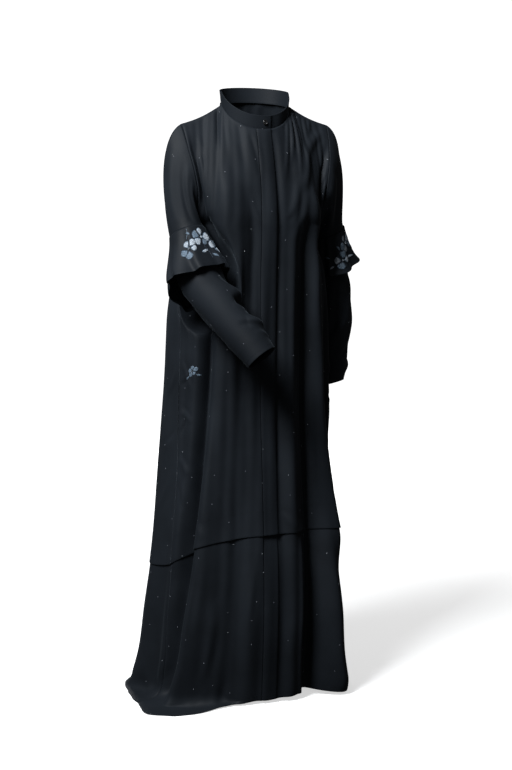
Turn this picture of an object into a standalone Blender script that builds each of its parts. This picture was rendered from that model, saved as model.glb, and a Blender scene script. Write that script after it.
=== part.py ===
"""Loose floor-length shirt dress in black crepe, holding the hollow form it has when worn.

The origin lies between the two neck points, at the top of the shoulder seams. +X is the
wearer's left, -Y is the front and +Z is up. Lengths are metres.

A place on the cloth is given by two numbers. q runs round the body: 0 is the centre front,
1 the side seam on the wearer's left, 2 the centre back, and the wearer's right has negative
values. v runs down: 0 is the neckline and shoulder seam, 1 the level of the underarm, 2 the
edge of the tuck and 3 the hem.
"""
import math

import bmesh
import bpy
import numpy as np
from mathutils import Vector

# Cloth and the gaps between layers and at seams
CLOTH = 0.0015
DOUBLE_CLOTH = 0.0020
LAYER_GAP = 0.0003
SEAM_GAP = 0.0003
SEAM_HALF_GAP_Q = 0.0007
SEAM_HALF_GAP_V = 0.0004

# How far out each layer's outer face lies from the body's own form
PANEL_FACE = 0.0015
PLACKET_FACE = 0.0026
UNDERLAP_FACE = 0.0003
SKIRT_FACE = -0.0003
SKIRT_PLACKET_FACE = -0.0015
SKIRT_PLACKET_RISE = 0.0023
SKIRT_PLACKET_CLOTH = 0.0018
SKIRT_UNDERLAP_FACE = -0.0036
SKIRT_UNDERLAP_RISE = 0.0021
SKIRT_EASE_V = 0.14
UNDERLAP_EASE_W = 0.15

# Levels and widths
UNDERARM_DROP = 0.285
TUCK_DEPTH = 0.060
TUCK_LIFT = 0.0035
PLACKET_HALF_WIDTH = 0.0185
PLACKET_GAP_Q = 0.0014
W_PLACKET = 0.08
POCKET_V = (1.42, 1.68)
POCKET_FADE = 0.06
POCKET_HALF_GAP_Q = 0.0035

# The mesh of the panels
FRONT_STEPS = 24
PLACKET_STEPS = 3
BACK_STEPS = 26
YOKE_STEPS = 10
BODY_STEPS = 9
SKIRT_SHARES = (0.0, 0.14, 0.30, 0.46, 0.61, 0.74, 0.84, 0.92, 1.0)
STEP = 0.002

# Neckline, shoulder and collar
NECK_SHARE = 0.5
NECK_HALF_WIDTH = 0.084
NECK_SIDE_Y = -0.008
NECK_FRONT = (-0.070, 0.060)
NECK_BACK = (0.060, -0.012)
SHOULDER_UPRIGHT = (0.415, 0.0, 0.910)
SHOULDER_SAG = 0.12
FRONT_FALL_POWER = 1.8
BACK_FALL_POWER = 1.0
ARMHOLE_REACH = 2.5
COLLAR_CENTRE = (0.0, -0.005, 0.0)
COLLAR_HEIGHT = 0.031
COLLAR_LEAN = 0.003
COLLAR_FACE = -0.0003
COLLAR_START = -11.0
COLLAR_END = 373.0
COLLAR_STEP = 9.0
COLLAR_LIFT_TURN = 15.0
COLLAR_EASE_TURN = 6.0
COLLAR_UNDER_END = 18.0
COLLAR_UNDER_FADE = 16.0
BUTTON_TURN = 362.0
BUTTON_RADIUS = 0.0058
BUTTON_THICKNESS = 0.0028
BUTTON_ROUNDING = 0.0006
BUTTON_SIDES = 24
BUTTON_SEAT = 0.0006

# Where the hanging cloth bends over onto the floor
FLOOR_BEND = 0.030
FLOOR_FLATTENING = 0.6
LOWEST = -1.4585

# The arms: side, then a row for each ring of the sleeve.
# station, centre x, y, z, way along the arm x, y, z, half width outwards, half width forwards
ARMS = {
    "right": (-1, (
        (0.0, -0.184, -0.044, -0.308, 0.14, -0.46, -0.88, 0.042, 0.046),
        (1.0, -0.170, -0.090, -0.405, 0.32, -0.58, -0.75, 0.054, 0.052),
        (2.0, -0.128, -0.140, -0.480, 0.47, -0.52, -0.71, 0.051, 0.047),
        (3.0, -0.090, -0.178, -0.542, 0.50, -0.48, -0.72, 0.045, 0.041),
        (4.0, -0.056, -0.210, -0.592, 0.50, -0.48, -0.72, 0.041, 0.035),
    )),
    "left": (1, (
        (0.0, 0.210, 0.045, -0.309, 0.36, 0.14, -0.92, 0.044, 0.052),
        (1.0, 0.223, 0.060, -0.410, 0.06, 0.08, -0.99, 0.046, 0.056),
        (2.0, 0.230, 0.062, -0.500, -0.02, -0.02, -1.00, 0.051, 0.055),
        (3.0, 0.225, 0.056, -0.600, -0.06, -0.08, -0.99, 0.049, 0.050),
        (4.0, 0.215, 0.045, -0.692, 0.20, -0.12, -0.97, 0.043, 0.046),
    )),
}
SLEEVE_START = (0.95, 0.0, -0.50)
SLEEVE_REACH = 0.75
# Round the underarm the sleeve starts a little way off the panels' edge
UNDERARM_TURN = 190.0
UNDERARM_REACH = 100.0
UNDERARM_FADE = 40.0
UNDERARM_EASE = 0.0019
ARMHOLE_AGREE = 0.8
ARMHOLE_AGREE_FADE = 0.5
SLEEVE_STEPS = 4
FOREARM_STEPS = 9

# Crossways folds of the lower sleeves: station, turn, height, half length, half width in degrees
SLEEVE_FOLDS = {
    "right": (
        (0.90, 190.0, 0.006, 0.25, 60.0),
        (1.45, 150.0, -0.005, 0.22, 70.0),
        (1.90, 200.0, 0.006, 0.25, 60.0),
        (2.30, 165.0, -0.010, 0.26, 42.0),
        (2.85, 190.0, 0.005, 0.24, 50.0),
        (3.40, 180.0, 0.003, 0.20, 80.0),
    ),
    "left": (
        (1.30, 40.0, 0.003, 0.30, 60.0),
        (2.40, 20.0, 0.004, 0.30, 70.0),
        (3.00, 60.0, -0.003, 0.25, 60.0),
        (3.60, 10.0, 0.003, 0.22, 80.0),
    ),
}

# Elbow frills: length in stations, flare at the front, flare at the back, drop of the back, phase,
# and where the frill stands out at the side: its turn, lift and flare
FLOUNCES = {
    "right": (1.15, 0.008, 0.018, 0.028, 0.6, -10.0, 0.050, 0.018),
    "left": (1.00, 0.016, 0.016, 0.004, 2.1, 15.0, 0.034, 0.004),
}
FLOUNCE_SIDE_TURN = 48.0
FLOUNCE_WAVES = 9
FLOUNCE_WAVE = 0.010
FLOUNCE_GATHER = 0.0015
FLOUNCE_FLARE_POWER = 1.3
FLOUNCE_UNEVENNESS = ((2, 0.18), (5, 0.10))
FLOUNCE_COLUMNS = 40
FLOUNCE_STEPS = 3

# Level sections of the body below the underarm.
# drop, half width right, half width left, front y, back y, squareness, angle of the side seam
SECTIONS = (
    (0.285, 0.154, 0.154, -0.112, 0.126, 0.10, 90.0),
    (0.330, 0.154, 0.156, -0.110, 0.136, 0.07, 85.0),
    (0.400, 0.182, 0.175, -0.107, 0.160, 0.07, 76.0),
    (0.490, 0.200, 0.191, -0.105, 0.179, 0.04, 70.0),
    (0.590, 0.203, 0.198, -0.103, 0.205, 0.03, 69.0),
    (0.700, 0.203, 0.200, -0.103, 0.225, 0.03, 69.0),
    (0.870, 0.210, 0.210, -0.112, 0.238, 0.03, 69.0),
    (1.035, 0.223, 0.221, -0.122, 0.246, 0.03, 69.0),
    (1.130, 0.233, 0.230, -0.128, 0.254, 0.03, 68.0),
    (1.240, 0.242, 0.239, -0.128, 0.268, 0.04, 68.0),
    (1.360, 0.248, 0.242, -0.120, 0.292, 0.04, 68.0),
    (1.460, 0.262, 0.255, -0.112, 0.332, 0.05, 68.0),
)

# Levels that change round the body.
# q, drop of the tuck's edge, drop of the hem, how far the hem runs out on the floor
LEVELS = (
    (-2.00, 1.095, 1.452, 0.010),
    (-1.50, 1.120, 1.457, 0.015),
    (-1.25, 1.130, 1.458, 0.030),
    (-1.00, 1.115, 1.458, 0.064),
    (-0.78, 1.080, 1.458, 0.094),
    (-0.58, 1.056, 1.458, 0.075),
    (-0.40, 1.045, 1.455, 0.025),
    (-0.20, 1.038, 1.453, 0.000),
    (0.00, 1.036, 1.452, 0.000),
    (0.36, 1.034, 1.444, 0.000),
    (0.55, 1.036, 1.450, 0.000),
    (0.80, 1.045, 1.453, 0.000),
    (1.30, 1.065, 1.453, 0.000),
    (2.00, 1.095, 1.452, 0.010),
)

# The armhole, the same on both sides.
# share of the way down, x, y of the front edge, y of the back edge, drop
ARMHOLE = (
    (0.00, 0.187, -0.010, -0.010, 0.047),
    (0.25, 0.181, -0.045, 0.030, 0.105),
    (0.50, 0.171, -0.064, 0.055, 0.165),
    (0.75, 0.160, -0.058, 0.060, 0.228),
    (0.90, 0.155, -0.030, 0.044, 0.270),
    (1.00, 0.154, 0.007, 0.007, 0.285),
)
# Lines along which the sleeves press on the body: start, end, radius at each.
PRESSING = (
    ((-0.184, -0.044, -0.298), (-0.170, -0.090, -0.405), 0.060, 0.080),
    ((-0.170, -0.090, -0.405), (-0.128, -0.140, -0.480), 0.080, 0.062),
    ((-0.170, -0.078, -0.400), (-0.158, -0.078, -0.470), 0.092, 0.080),
    ((0.210, 0.045, -0.315), (0.223, 0.060, -0.410), 0.058, 0.088),
    ((0.223, 0.060, -0.410), (0.226, 0.062, -0.500), 0.086, 0.070),
    ((0.226, 0.062, -0.500), (0.213, 0.043, -0.740), 0.076, 0.072),
)
PRESS_SOFTNESS = 0.006
PRESS_TOP = 0.96
PRESS_FADE = 0.10

# Folds that run down the body. Each follows five places evenly spaced from its top to its end.
# v at the top, v at the end, v to fade, q at the five places, height at the top, height at the
# end, width towards the wearer's right, width towards the left
FOLDS = (
    (0.45, 3.30, 0.30, (-0.42, -0.43, -0.59, -0.73, -0.80), 0.006, 0.036, 0.085, 0.150),
    (0.85, 3.30, 0.20, (-0.66, -0.63, -0.81, -0.91, -0.97), -0.018, -0.022, 0.090, 0.080),
    (1.05, 2.15, 0.25, (-0.72, -0.71, -0.75, -0.88, -0.98), 0.008, 0.008, 0.100, 0.080),
    (0.10, 1.10, 0.25, (-0.93, -0.90, -0.84, -0.76, -0.68), -0.006, -0.012, 0.060, 0.070),
    (0.55, 1.50, 0.30, (-0.20, -0.18, -0.17, -0.18, -0.22), -0.007, -0.004, 0.080, 0.080),
    (1.60, 3.30, 0.50, (-0.30, -0.30, -0.32, -0.34, -0.36), -0.003, -0.010, 0.070, 0.090),
    (2.10, 3.30, 0.30, (-0.18, -0.18, -0.19, -0.20, -0.21), 0.003, 0.009, 0.060, 0.060),
    (0.90, 3.30, 0.40, (0.26, 0.25, 0.23, 0.21, 0.20), 0.007, 0.012, 0.070, 0.060),
    (0.90, 3.30, 0.30, (0.46, 0.46, 0.44, 0.40, 0.38), -0.020, -0.030, 0.080, 0.080),
    (1.95, 3.30, 0.20, (0.30, 0.30, 0.29, 0.29, 0.28), 0.006, 0.010, 0.030, 0.035),
    (0.08, 0.72, 0.15, (0.90, 0.70, 0.53, 0.44, 0.40), 0.007, 0.008, 0.070, 0.060),
    (0.55, 2.30, 0.30, (0.41, 0.55, 0.64, 0.70, 0.74), 0.010, 0.018, 0.080, 0.090),
    (0.15, 1.20, 0.25, (0.97, 0.86, 0.74, 0.74, 0.80), -0.006, -0.014, 0.060, 0.060),
    (0.75, 1.80, 0.25, (0.52, 0.72, 0.86, 0.92, 0.98), 0.006, 0.012, 0.060, 0.060),
    (1.70, 3.30, 0.40, (0.66, 0.63, 0.61, 0.60, 0.60), 0.010, 0.080, 0.100, 0.140),
    (1.70, 3.30, 0.40, (0.98, 0.96, 0.94, 0.92, 0.90), -0.008, -0.022, 0.100, 0.090),
    (1.20, 3.30, 0.50, (1.22, 1.22, 1.21, 1.20, 1.20), 0.008, 0.030, 0.100, 0.120),
    (0.70, 3.30, 0.50, (1.46, 1.46, 1.45, 1.44, 1.44), -0.008, -0.024, 0.090, 0.090),
    (0.60, 3.30, 0.50, (1.68, 1.68, 1.70, 1.70, 1.70), 0.006, 0.024, 0.090, 0.100),
    (0.50, 3.30, 0.50, (1.94, 1.94, 1.95, 1.96, 1.96), -0.008, -0.022, 0.110, 0.110),
    (0.60, 3.30, 0.50, (-1.74, -1.74, -1.72, -1.70, -1.70), 0.006, 0.024, 0.100, 0.090),
    (0.80, 3.30, 0.50, (-1.50, -1.50, -1.50, -1.50, -1.50), -0.007, -0.022, 0.090, 0.100),
    (1.30, 3.30, 0.50, (-1.24, -1.24, -1.26, -1.28, -1.30), 0.008, 0.024, 0.110, 0.100),
    (1.60, 3.30, 0.40, (-1.06, -1.07, -1.09, -1.10, -1.12), -0.004, -0.014, 0.060, 0.060),
)

# Gathers fan out from the neck and shoulder seam on the wearer's left.
# q at the seam, q at the end, v at the end, height
GATHERS = (
    (0.29, 0.17, 0.62, 0.0040),
    (0.37, 0.25, 0.48, 0.0045),
    (0.45, 0.33, 0.70, 0.0050),
    (0.53, 0.41, 0.52, 0.0045),
    (0.61, 0.48, 0.44, 0.0045),
    (0.69, 0.55, 0.36, 0.0040),
    (0.77, 0.62, 0.26, 0.0035),
)
GATHER_WIDTH = 0.026
GATHER_TOP_FADE = 0.06
GATHER_END_SHARE = 0.6
PLEAT = (-0.56, -0.52, 0.42, -0.0050)


def along(table, x):
    """Each further column of a table at x, on smooth curves through its rows."""
    rows = np.asarray(table, float)
    xs = rows[:, 0]
    ys = rows[:, 1:]
    slopes = np.gradient(ys, xs, axis=0)
    x = np.clip(np.asarray(x, float), xs[0], xs[-1])
    i = np.clip(np.searchsorted(xs, x, side="right") - 1, 0, len(xs) - 2)
    span = (xs[i + 1] - xs[i])[..., None]
    t = (x - xs[i])[..., None] / span
    rise = t * t * (3 - 2 * t)
    value = ys[i] * (1 - rise) + ys[i + 1] * rise
    value = value + span * (t * (1 - t) ** 2 * slopes[i] - t * t * (1 - t) * slopes[i + 1])
    return np.moveaxis(value, -1, 0)


def smoothstep(x):
    x = np.clip(x, 0.0, 1.0)
    return x * x * (3 - 2 * x)


def unit(vectors):
    return vectors / np.linalg.norm(vectors, axis=-1, keepdims=True)


def wrapped(q):
    """q brought back into the range from -2 to 2."""
    return (np.asarray(q, float) + 2.0) % 4.0 - 2.0


def ring(q, drop):
    """A point of the level section at a drop, without folds."""
    q = wrapped(q)
    right, left, front, back, square, seam = along(SECTIONS, drop)
    part = np.abs(q)
    degrees = np.where(part <= 1, part * seam, seam + (part - 1) * (180 - seam))
    angle = np.radians(degrees)
    swell = 1 + square * np.sin(2 * angle) ** 2
    half = np.where(q >= 0, left, right)
    x = np.where(q >= 0, 1.0, -1.0) * half * np.sin(angle) * swell
    y = (front + back) / 2 - (back - front) / 2 * np.cos(angle) * swell
    return np.stack([x, y, -drop + 0 * x], axis=-1)


def neck_and_shoulder(s, front):
    """Top edge of a half panel, from its centre (s 0) past the neck point to the shoulder tip."""
    turn = np.radians(90 * np.clip(s / NECK_SHARE, 0, 1))
    centre_y = np.where(front, NECK_FRONT[0], NECK_BACK[0])
    centre_drop = np.where(front, NECK_FRONT[1], NECK_BACK[1])
    x = NECK_HALF_WIDTH * np.sin(turn)
    y = NECK_SIDE_Y + (centre_y - NECK_SIDE_Y) * np.cos(turn)
    drop = centre_drop * np.cos(turn)
    tip = ARMHOLE[0]
    out = np.clip((s - NECK_SHARE) / (1 - NECK_SHARE), 0, 1)
    x = x + (tip[1] - NECK_HALF_WIDTH) * out
    y = y + (tip[2] - NECK_SIDE_Y) * out
    drop = drop + tip[4] * (out + SHOULDER_SAG * np.sin(math.pi * out))
    return np.stack([x, y, -drop], axis=-1)


def yoke(q, t):
    """A place above the underarm: the top edge falls to the underarm's ring and bends to the armhole."""
    q = wrapped(q)
    part = np.abs(q)
    front = part <= 1
    s = np.where(front, part, 2 - part)
    power = np.where(front, FRONT_FALL_POWER, BACK_FALL_POWER)
    fall = (1 - (1 - t) ** power)[..., None]
    blend = np.concatenate([fall, fall, t[..., None]], axis=-1)

    def falling(share):
        low = ring(np.where(front, share, 2 - share), UNDERARM_DROP + 0 * share)
        return (1 - blend) * neck_and_shoulder(share, front) + blend * low

    arm_x, arm_front, arm_back, arm_drop = along(ARMHOLE, t)
    armhole = np.stack([arm_x, np.where(front, arm_front, arm_back), -arm_drop], axis=-1)
    point = falling(s) + (s ** ARMHOLE_REACH)[..., None] * (armhole - falling(1 + 0 * s))
    point[..., 0] = point[..., 0] * np.where(q >= 0, 1.0, -1.0)
    return point


def bump(distance, right_width, left_width):
    width = np.where(distance < 0, right_width, left_width)
    return np.exp(-(distance / width) ** 2)


def fold_height(q, v):
    """How far the folds lift the cloth off its plain form."""
    height = np.zeros(np.shape(q))
    for top, end, fade, places, first, last, right_width, left_width in FOLDS:
        share = np.clip((v - top) / (end - top), 0, 1)
        steps = np.linspace(0, 1, len(places))
        path = along(list(zip(steps, places)), share)[0]
        shown = smoothstep((v - top) / fade) * smoothstep((end - v) / fade)
        rise = (first + (last - first) * share) * shown
        height = height + rise * bump(wrapped(q - path), right_width, left_width)
    for seam_q, end_q, end, rise in GATHERS + (PLEAT,):
        share = np.clip(v / end, 0, 1)
        path = seam_q + (end_q - seam_q) * share
        shown = smoothstep(v / GATHER_TOP_FADE) * smoothstep((end - v) / (GATHER_END_SHARE * end))
        height = height + rise * shown * bump(q - path, GATHER_WIDTH, GATHER_WIDTH)
    return height


def drop_and_run(q, v):
    """Drop below the neck point and how far out on the floor, for places under the armhole."""
    tuck, hem, run = along(LEVELS, wrapped(q))
    upper = UNDERARM_DROP + (tuck - UNDERARM_DROP) * (v - 1)
    bend = np.maximum(np.minimum(run, FLOOR_BEND), 1e-4)
    length = (v - 2) * (hem - tuck + run)
    past = np.maximum(length - (hem - tuck - bend), 0)
    turning = np.minimum(past, 2 * bend)
    out = turning ** 2 / (4 * bend) + np.maximum(past - 2 * bend, 0)
    down = turning - turning ** 2 / (4 * bend)
    lower = tuck + np.minimum(length, hem - tuck - bend) + down
    return np.where(v <= 2, upper, lower), np.where(v <= 2, 0, out)


def plain_body(q, v, on_floor=True):
    """The body without folds; off the floor, its hem hangs straight down."""
    high = yoke(q, np.clip(v, 0, 1))
    if on_floor:
        drop = drop_and_run(q, np.clip(v, 1, 3))[0]
    else:
        tuck, hem = along(LEVELS, wrapped(q))[0:2]
        drop = tuck + (v - 2) * np.where(v < 2, tuck - UNDERARM_DROP, hem - tuck)
    low = ring(q, drop)
    return np.where((v < 1)[..., None], high, low)


def hanging_body(q, v):
    return plain_body(q, v, on_floor=False)


def panel_reach(q, v):
    """The range of q over which the cloth is whole: one panel above the underarm, all below it."""
    front = np.abs(q) <= 1
    low = np.where(front, -1.0, np.where(q > 0, 1.0, -3.0))
    high = np.where(front, 1.0, np.where(q > 0, 3.0, -1.0))
    return np.where(v < 1, low, -4.0), np.where(v < 1, high, 4.0)


def slope_across(surface, q, v):
    low, high = panel_reach(q, v)
    inner = surface(np.maximum(q - STEP, low), v)
    return surface(np.minimum(q + STEP, high), v) - inner


def slope_down(surface, q, v):
    """The way down the cloth; the armhole bends sharply at v 1, so neither side reads past it."""
    yoke_place = v < 1
    higher = surface(q, np.maximum(v - STEP, np.where(yoke_place, 0, 1)))
    return surface(q, np.minimum(v + STEP, np.where(yoke_place, 1, 3))) - higher


def outward(surface, q, v):
    """The direction that faces out of the cloth."""
    return unit(np.cross(slope_down(surface, q, v), slope_across(surface, q, v)))


def pressed(points, v):
    """The cloth of the body gives way where a sleeve lies against it."""
    shown = smoothstep((v - PRESS_TOP) / PRESS_FADE)
    for start, end, start_radius, end_radius in PRESSING:
        start = np.array(start)
        line = np.array(end) - start
        share = np.clip((points - start) @ line / (line @ line), 0, 1)
        away = points - (start + share[..., None] * line)
        distance = np.linalg.norm(away, axis=-1)
        radius = start_radius + (end_radius - start_radius) * share
        push = PRESS_SOFTNESS * np.logaddexp(0, (radius - distance) / PRESS_SOFTNESS)
        points = points + unit(away) * (push * shown)[..., None]
    return points


def body(q, v):
    """A place on the body with its folds, as far as the hem."""
    q, v = np.broadcast_arrays(np.asarray(q, float), np.asarray(v, float))
    normal = outward(hanging_body, q, v)
    out = drop_and_run(q, np.clip(v, 1, 3))[1]
    height = fold_height(q, v) * (1 - FLOOR_FLATTENING * smoothstep(out / FLOOR_BEND))
    points = plain_body(q, v) + normal * height[..., None]
    points = pressed(points, v)
    level = unit(normal * np.array([1.0, 1.0, 0.0]))
    points = points + level * out[..., None]
    points[..., 2] = np.maximum(points[..., 2], LOWEST)
    return points


def body_out(q, v):
    """The direction that faces out of the folded body; the shoulder seam's edges stand upright."""
    normal = outward(body, q, v)
    part = np.where(np.abs(wrapped(q)) <= 1, np.abs(wrapped(q)), 2 - np.abs(wrapped(q)))
    at_shoulder = (v < 2 * SEAM_HALF_GAP_V) & (part >= NECK_SHARE)
    upright = np.array(SHOULDER_UPRIGHT) * np.ones(normal.shape)
    upright[..., 0] = upright[..., 0] * np.where(wrapped(q) >= 0, 1.0, -1.0)
    return np.where(at_shoulder[..., None], upright, normal)


def stitch_v(q):
    """The level of the tuck's stitch line, as a value of v."""
    tuck = along(LEVELS, wrapped(q))[0]
    return 2 - TUCK_DEPTH / (tuck - UNDERARM_DROP)


def placket_q(v):
    """Half of the placket's width, as a value of q."""
    near = plain_body(STEP + 0 * v, v) - plain_body(0 * v, v)
    return PLACKET_HALF_WIDTH * STEP / np.linalg.norm(near, axis=-1)


def column_q(w, v):
    """q of a column: the columns within W_PLACKET of the centre keep to the placket's width."""
    edge = placket_q(v)
    size = np.abs(w)
    near = size / W_PLACKET * edge
    far = edge + (size - W_PLACKET) / (1 - W_PLACKET) * (1 - edge)
    return np.sign(w) * np.where(size <= W_PLACKET, near, far)


def upper_rows(w):
    """v of each row of the upper tier, for columns w of a front or q of the back."""
    stitch = stitch_v(w)
    yoke_rows = [v + 0 * w for v in np.linspace(0, 1, YOKE_STEPS + 1)]
    yoke_rows[0] = yoke_rows[0] + SEAM_HALF_GAP_V
    body_rows = [1 + (stitch - 1) * k / BODY_STEPS for k in range(1, BODY_STEPS + 1)]
    return np.array(yoke_rows + body_rows + [(stitch + 2) / 2, 2 + 0 * w])


def lower_rows(w):
    stitch = stitch_v(w)
    rows = [stitch, (stitch + 2) / 2]
    return np.array(rows + [2 + share + 0 * w for share in SKIRT_SHARES])


def tuck_lift(q, v):
    stitch = stitch_v(q)
    return TUCK_LIFT * np.clip((v - stitch) / (2 - stitch), 0, 1) ** 2


def pocket_mouth(v):
    """1 where the side seam is left open as a pocket's mouth, 0 elsewhere."""
    return smoothstep((v - POCKET_V[0]) / POCKET_FADE) * smoothstep((POCKET_V[1] - v) / POCKET_FADE)


def arm_ring(arm, station, degrees):
    """A place on the plain sleeve at a station of its arm's table."""
    side, table = ARMS[arm]
    columns = along(table, station)
    centre = np.stack(columns[0:3], axis=-1)
    along_arm = unit(np.stack(columns[3:6], axis=-1))
    sideways = np.array([side, 0.0, 0.0])
    out = unit(sideways - (along_arm @ sideways)[..., None] * along_arm)
    forward = side * np.cross(along_arm, out)
    turn = np.radians(degrees)
    reach_out = (columns[6] * np.cos(turn))[..., None] * out
    return centre + reach_out + (columns[7] * np.sin(turn))[..., None] * forward


def armhole_edge(arm, degrees):
    """The panels' edge at the armhole, the way out of it, and the way out of the cloth there."""
    side = ARMS[arm][0]
    turn = np.asarray(degrees, float) % 360
    front_share = np.clip(turn / 180, SEAM_HALF_GAP_V, 1)
    back_share = np.clip((360 - turn) % 360 / 180, SEAM_HALF_GAP_V, 1)
    front_q = side * (1 - SEAM_HALF_GAP_Q) + 0 * turn
    back_q = side * (1 + SEAM_HALF_GAP_Q) + 0 * turn
    shares = []
    for q, share, way in ((front_q, front_share, side), (back_q, back_share, -side)):
        tangent = way * unit(slope_across(body, q, share))
        shares.append((body(q, share), tangent, body_out(q, share)))
    seam = np.isclose(turn, 0) | np.isclose(turn, 180)
    weight = np.where(seam, 0.5, np.where(turn < 180, 1.0, 0.0))[..., None]
    return [front * weight + back * (1 - weight) for front, back in zip(*shares)]


def sleeve_upper(arm, degrees, t):
    """The set-in sleeve, from the armhole (t 0) to the elbow seam (t 1)."""
    edge, tangent, edge_out = armhole_edge(arm, degrees)
    side = ARMS[arm][0]
    end = arm_ring(arm, 0 * degrees, degrees)
    along_arm = unit(np.array(ARMS[arm][1][0][4:7]))
    away = np.array([side * SLEEVE_START[0], SLEEVE_START[1], SLEEVE_START[2]])
    below = np.abs(np.asarray(degrees, float) % 360 - UNDERARM_TURN)
    ease = UNDERARM_EASE * smoothstep((UNDERARM_REACH - below) / UNDERARM_FADE)
    start = edge + unit(tangent) * SEAM_GAP + ease[..., None] * away
    reach = np.linalg.norm(end - start, axis=-1, keepdims=True) * SLEEVE_REACH
    t = np.asarray(t, float)[..., None]
    rise = smoothstep(t)
    path = start * (1 - rise) + end * rise
    path = path + reach * (t * (1 - t) ** 2 * away - t * t * (1 - t) * along_arm)
    return path


def tube_out(surface, degrees, t, low, high):
    """The direction that faces out of a tube given by turn and share of its length."""
    across = surface(degrees + 1, t) - surface(degrees - 1, t)
    down = surface(degrees, np.minimum(t + STEP, high)) - surface(degrees, np.maximum(t - STEP, low))
    return unit(np.cross(down, across))


def sleeve_lower(arm, degrees, station):
    """The lower sleeve, from the elbow seam to the cuff, with its crossways folds."""
    points = arm_ring(arm, station, degrees)
    centre = np.stack(along(ARMS[arm][1], station)[0:3], axis=-1)
    height = np.zeros(np.shape(station))
    for place, turn, rise, length, width in SLEEVE_FOLDS[arm]:
        around = (degrees - turn + 180) % 360 - 180
        height = height + rise * np.exp(-((station - place) / length) ** 2 - (around / width) ** 2)
    return points + unit(points - centre) * height[..., None]


def flounce(arm, degrees, t):
    """The frill over the lower sleeve, moved out from that sleeve's own places."""
    length, flare_out, flare_back, back_drop, phase, side_turn, side_lift, side_flare = FLOUNCES[arm]
    turn = np.radians(degrees)
    station = t * length
    points = sleeve_lower(arm, degrees, station)
    centre = np.stack(along(ARMS[arm][1], station)[0:3], axis=-1)
    back = (1 - np.sin(turn)) / 2
    flare = (flare_out + (flare_back - flare_out) * back) * t ** FLOUNCE_FLARE_POWER
    around = (degrees - side_turn + 180) % 360 - 180
    beside = np.exp(-(around / FLOUNCE_SIDE_TURN) ** 2) * t ** 2
    flare = flare + side_flare * beside
    wobble = turn
    for count, size in FLOUNCE_UNEVENNESS:
        wobble = wobble + size * np.sin(count * turn + phase)
    wave = 0.5 + 0.5 * np.cos(FLOUNCE_WAVES * wobble + phase)
    wave_height = FLOUNCE_GATHER * (1 - t) ** 2 + FLOUNCE_WAVE * t
    out = CLOTH + LAYER_GAP + flare + wave * wave_height
    points = points + unit(points - centre) * out[..., None]
    points[..., 2] = points[..., 2] - back_drop * back * t ** 2 + side_lift * beside
    return points


def neck_turn(degrees):
    return (np.asarray(degrees, float) + 180) % 360 - 180


def neck_place(degrees):
    """q of a place on the neckline; 0 is the centre front and 90 the wearer's left."""
    turn = neck_turn(degrees)
    size = np.abs(turn)
    share = NECK_SHARE * np.where(size <= 90, size, 180 - size) / 90
    return np.sign(turn) * np.where(size <= 90, share, 2 - share)


def collar(degrees, share):
    """The outer face of the stand collar, from its seam (share 0) to its top edge (share 1)."""
    q = neck_place(degrees)
    top = SEAM_HALF_GAP_V + 0 * q
    foot = body(q, top)
    cloth_out = outward(body, q, top)
    level_out = unit((foot - np.array(COLLAR_CENTRE)) * np.array([1.0, 1.0, 0.0]))
    over_placket = 1 - smoothstep((np.abs(neck_turn(degrees)) - COLLAR_LIFT_TURN) / COLLAR_EASE_TURN)
    face = PANEL_FACE + (PLACKET_FACE - PANEL_FACE) * over_placket
    lift = SEAM_GAP + np.maximum(cloth_out[..., 2], 0) * face
    ease = smoothstep((degrees - COLLAR_UNDER_END) / COLLAR_UNDER_FADE)
    under = -(DOUBLE_CLOTH + LAYER_GAP) * (1 - ease)
    out = COLLAR_FACE + under + COLLAR_LEAN * share
    points = foot + level_out * out[..., None]
    points[..., 2] = points[..., 2] + lift + COLLAR_HEIGHT * share
    return points, level_out


# Blender objects
def make_material(name, colour, roughness, metallic=0.0):
    material = bpy.data.materials.new(name)
    material.use_nodes = True
    shader = material.node_tree.nodes["Principled BSDF"]
    shader.inputs["Base Color"].default_value = (*colour, 1.0)
    shader.inputs["Roughness"].default_value = roughness
    shader.inputs["Metallic"].default_value = metallic
    return material


def make_wall(name, outer, normals, thickness, material, collection, closed=False):
    """A closed solid between a grid of places and the same grid moved in by the thickness."""
    rows, columns = outer.shape[:2]
    inner = outer - normals * thickness
    places = np.concatenate([outer.reshape(-1, 3), inner.reshape(-1, 3)])
    count = rows * columns
    faces = []

    def quad(a, b, c, d):
        faces.append((a, b, c))
        faces.append((a, c, d))

    steps = columns if closed else columns - 1
    for row in range(rows - 1):
        for column in range(steps):
            after = (column + 1) % columns
            a = row * columns + column
            b = row * columns + after
            c = (row + 1) * columns + after
            d = (row + 1) * columns + column
            quad(a, b, c, d)
            quad(count + a, count + d, count + c, count + b)
    for column in range(steps):
        after = (column + 1) % columns
        last = (rows - 1) * columns
        quad(column, count + column, count + after, after)
        quad(last + column, last + after, count + last + after, count + last + column)
    if not closed:
        for row in range(rows - 1):
            a = row * columns
            b = a + columns
            quad(a, b, count + b, count + a)
            c = a + columns - 1
            d = b + columns - 1
            quad(c, count + c, count + d, d)
    mesh = bpy.data.meshes.new(name)
    mesh.from_pydata(places.tolist(), [], faces)
    shell = bmesh.new()
    shell.from_mesh(mesh)
    if shell.calc_volume(signed=True) < 0:
        bmesh.ops.reverse_faces(shell, faces=shell.faces)
    shell.to_mesh(mesh)
    shell.free()
    mesh.shade_smooth()
    mesh.set_sharp_from_angle(angle=math.radians(50))
    mesh.materials.append(material)
    piece = bpy.data.objects.new(name, mesh)
    collection.objects.link(piece)
    return piece


def body_panel(name, q, v, face, thickness, material, collection):
    """A piece of the body whose outer face lies a distance out from the body's own form."""
    normals = body_out(q, v)
    outer = body(q, v) + normals * np.broadcast_to(face, q.shape)[..., None]
    return make_wall(name, outer, normals, thickness, material, collection)


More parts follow.
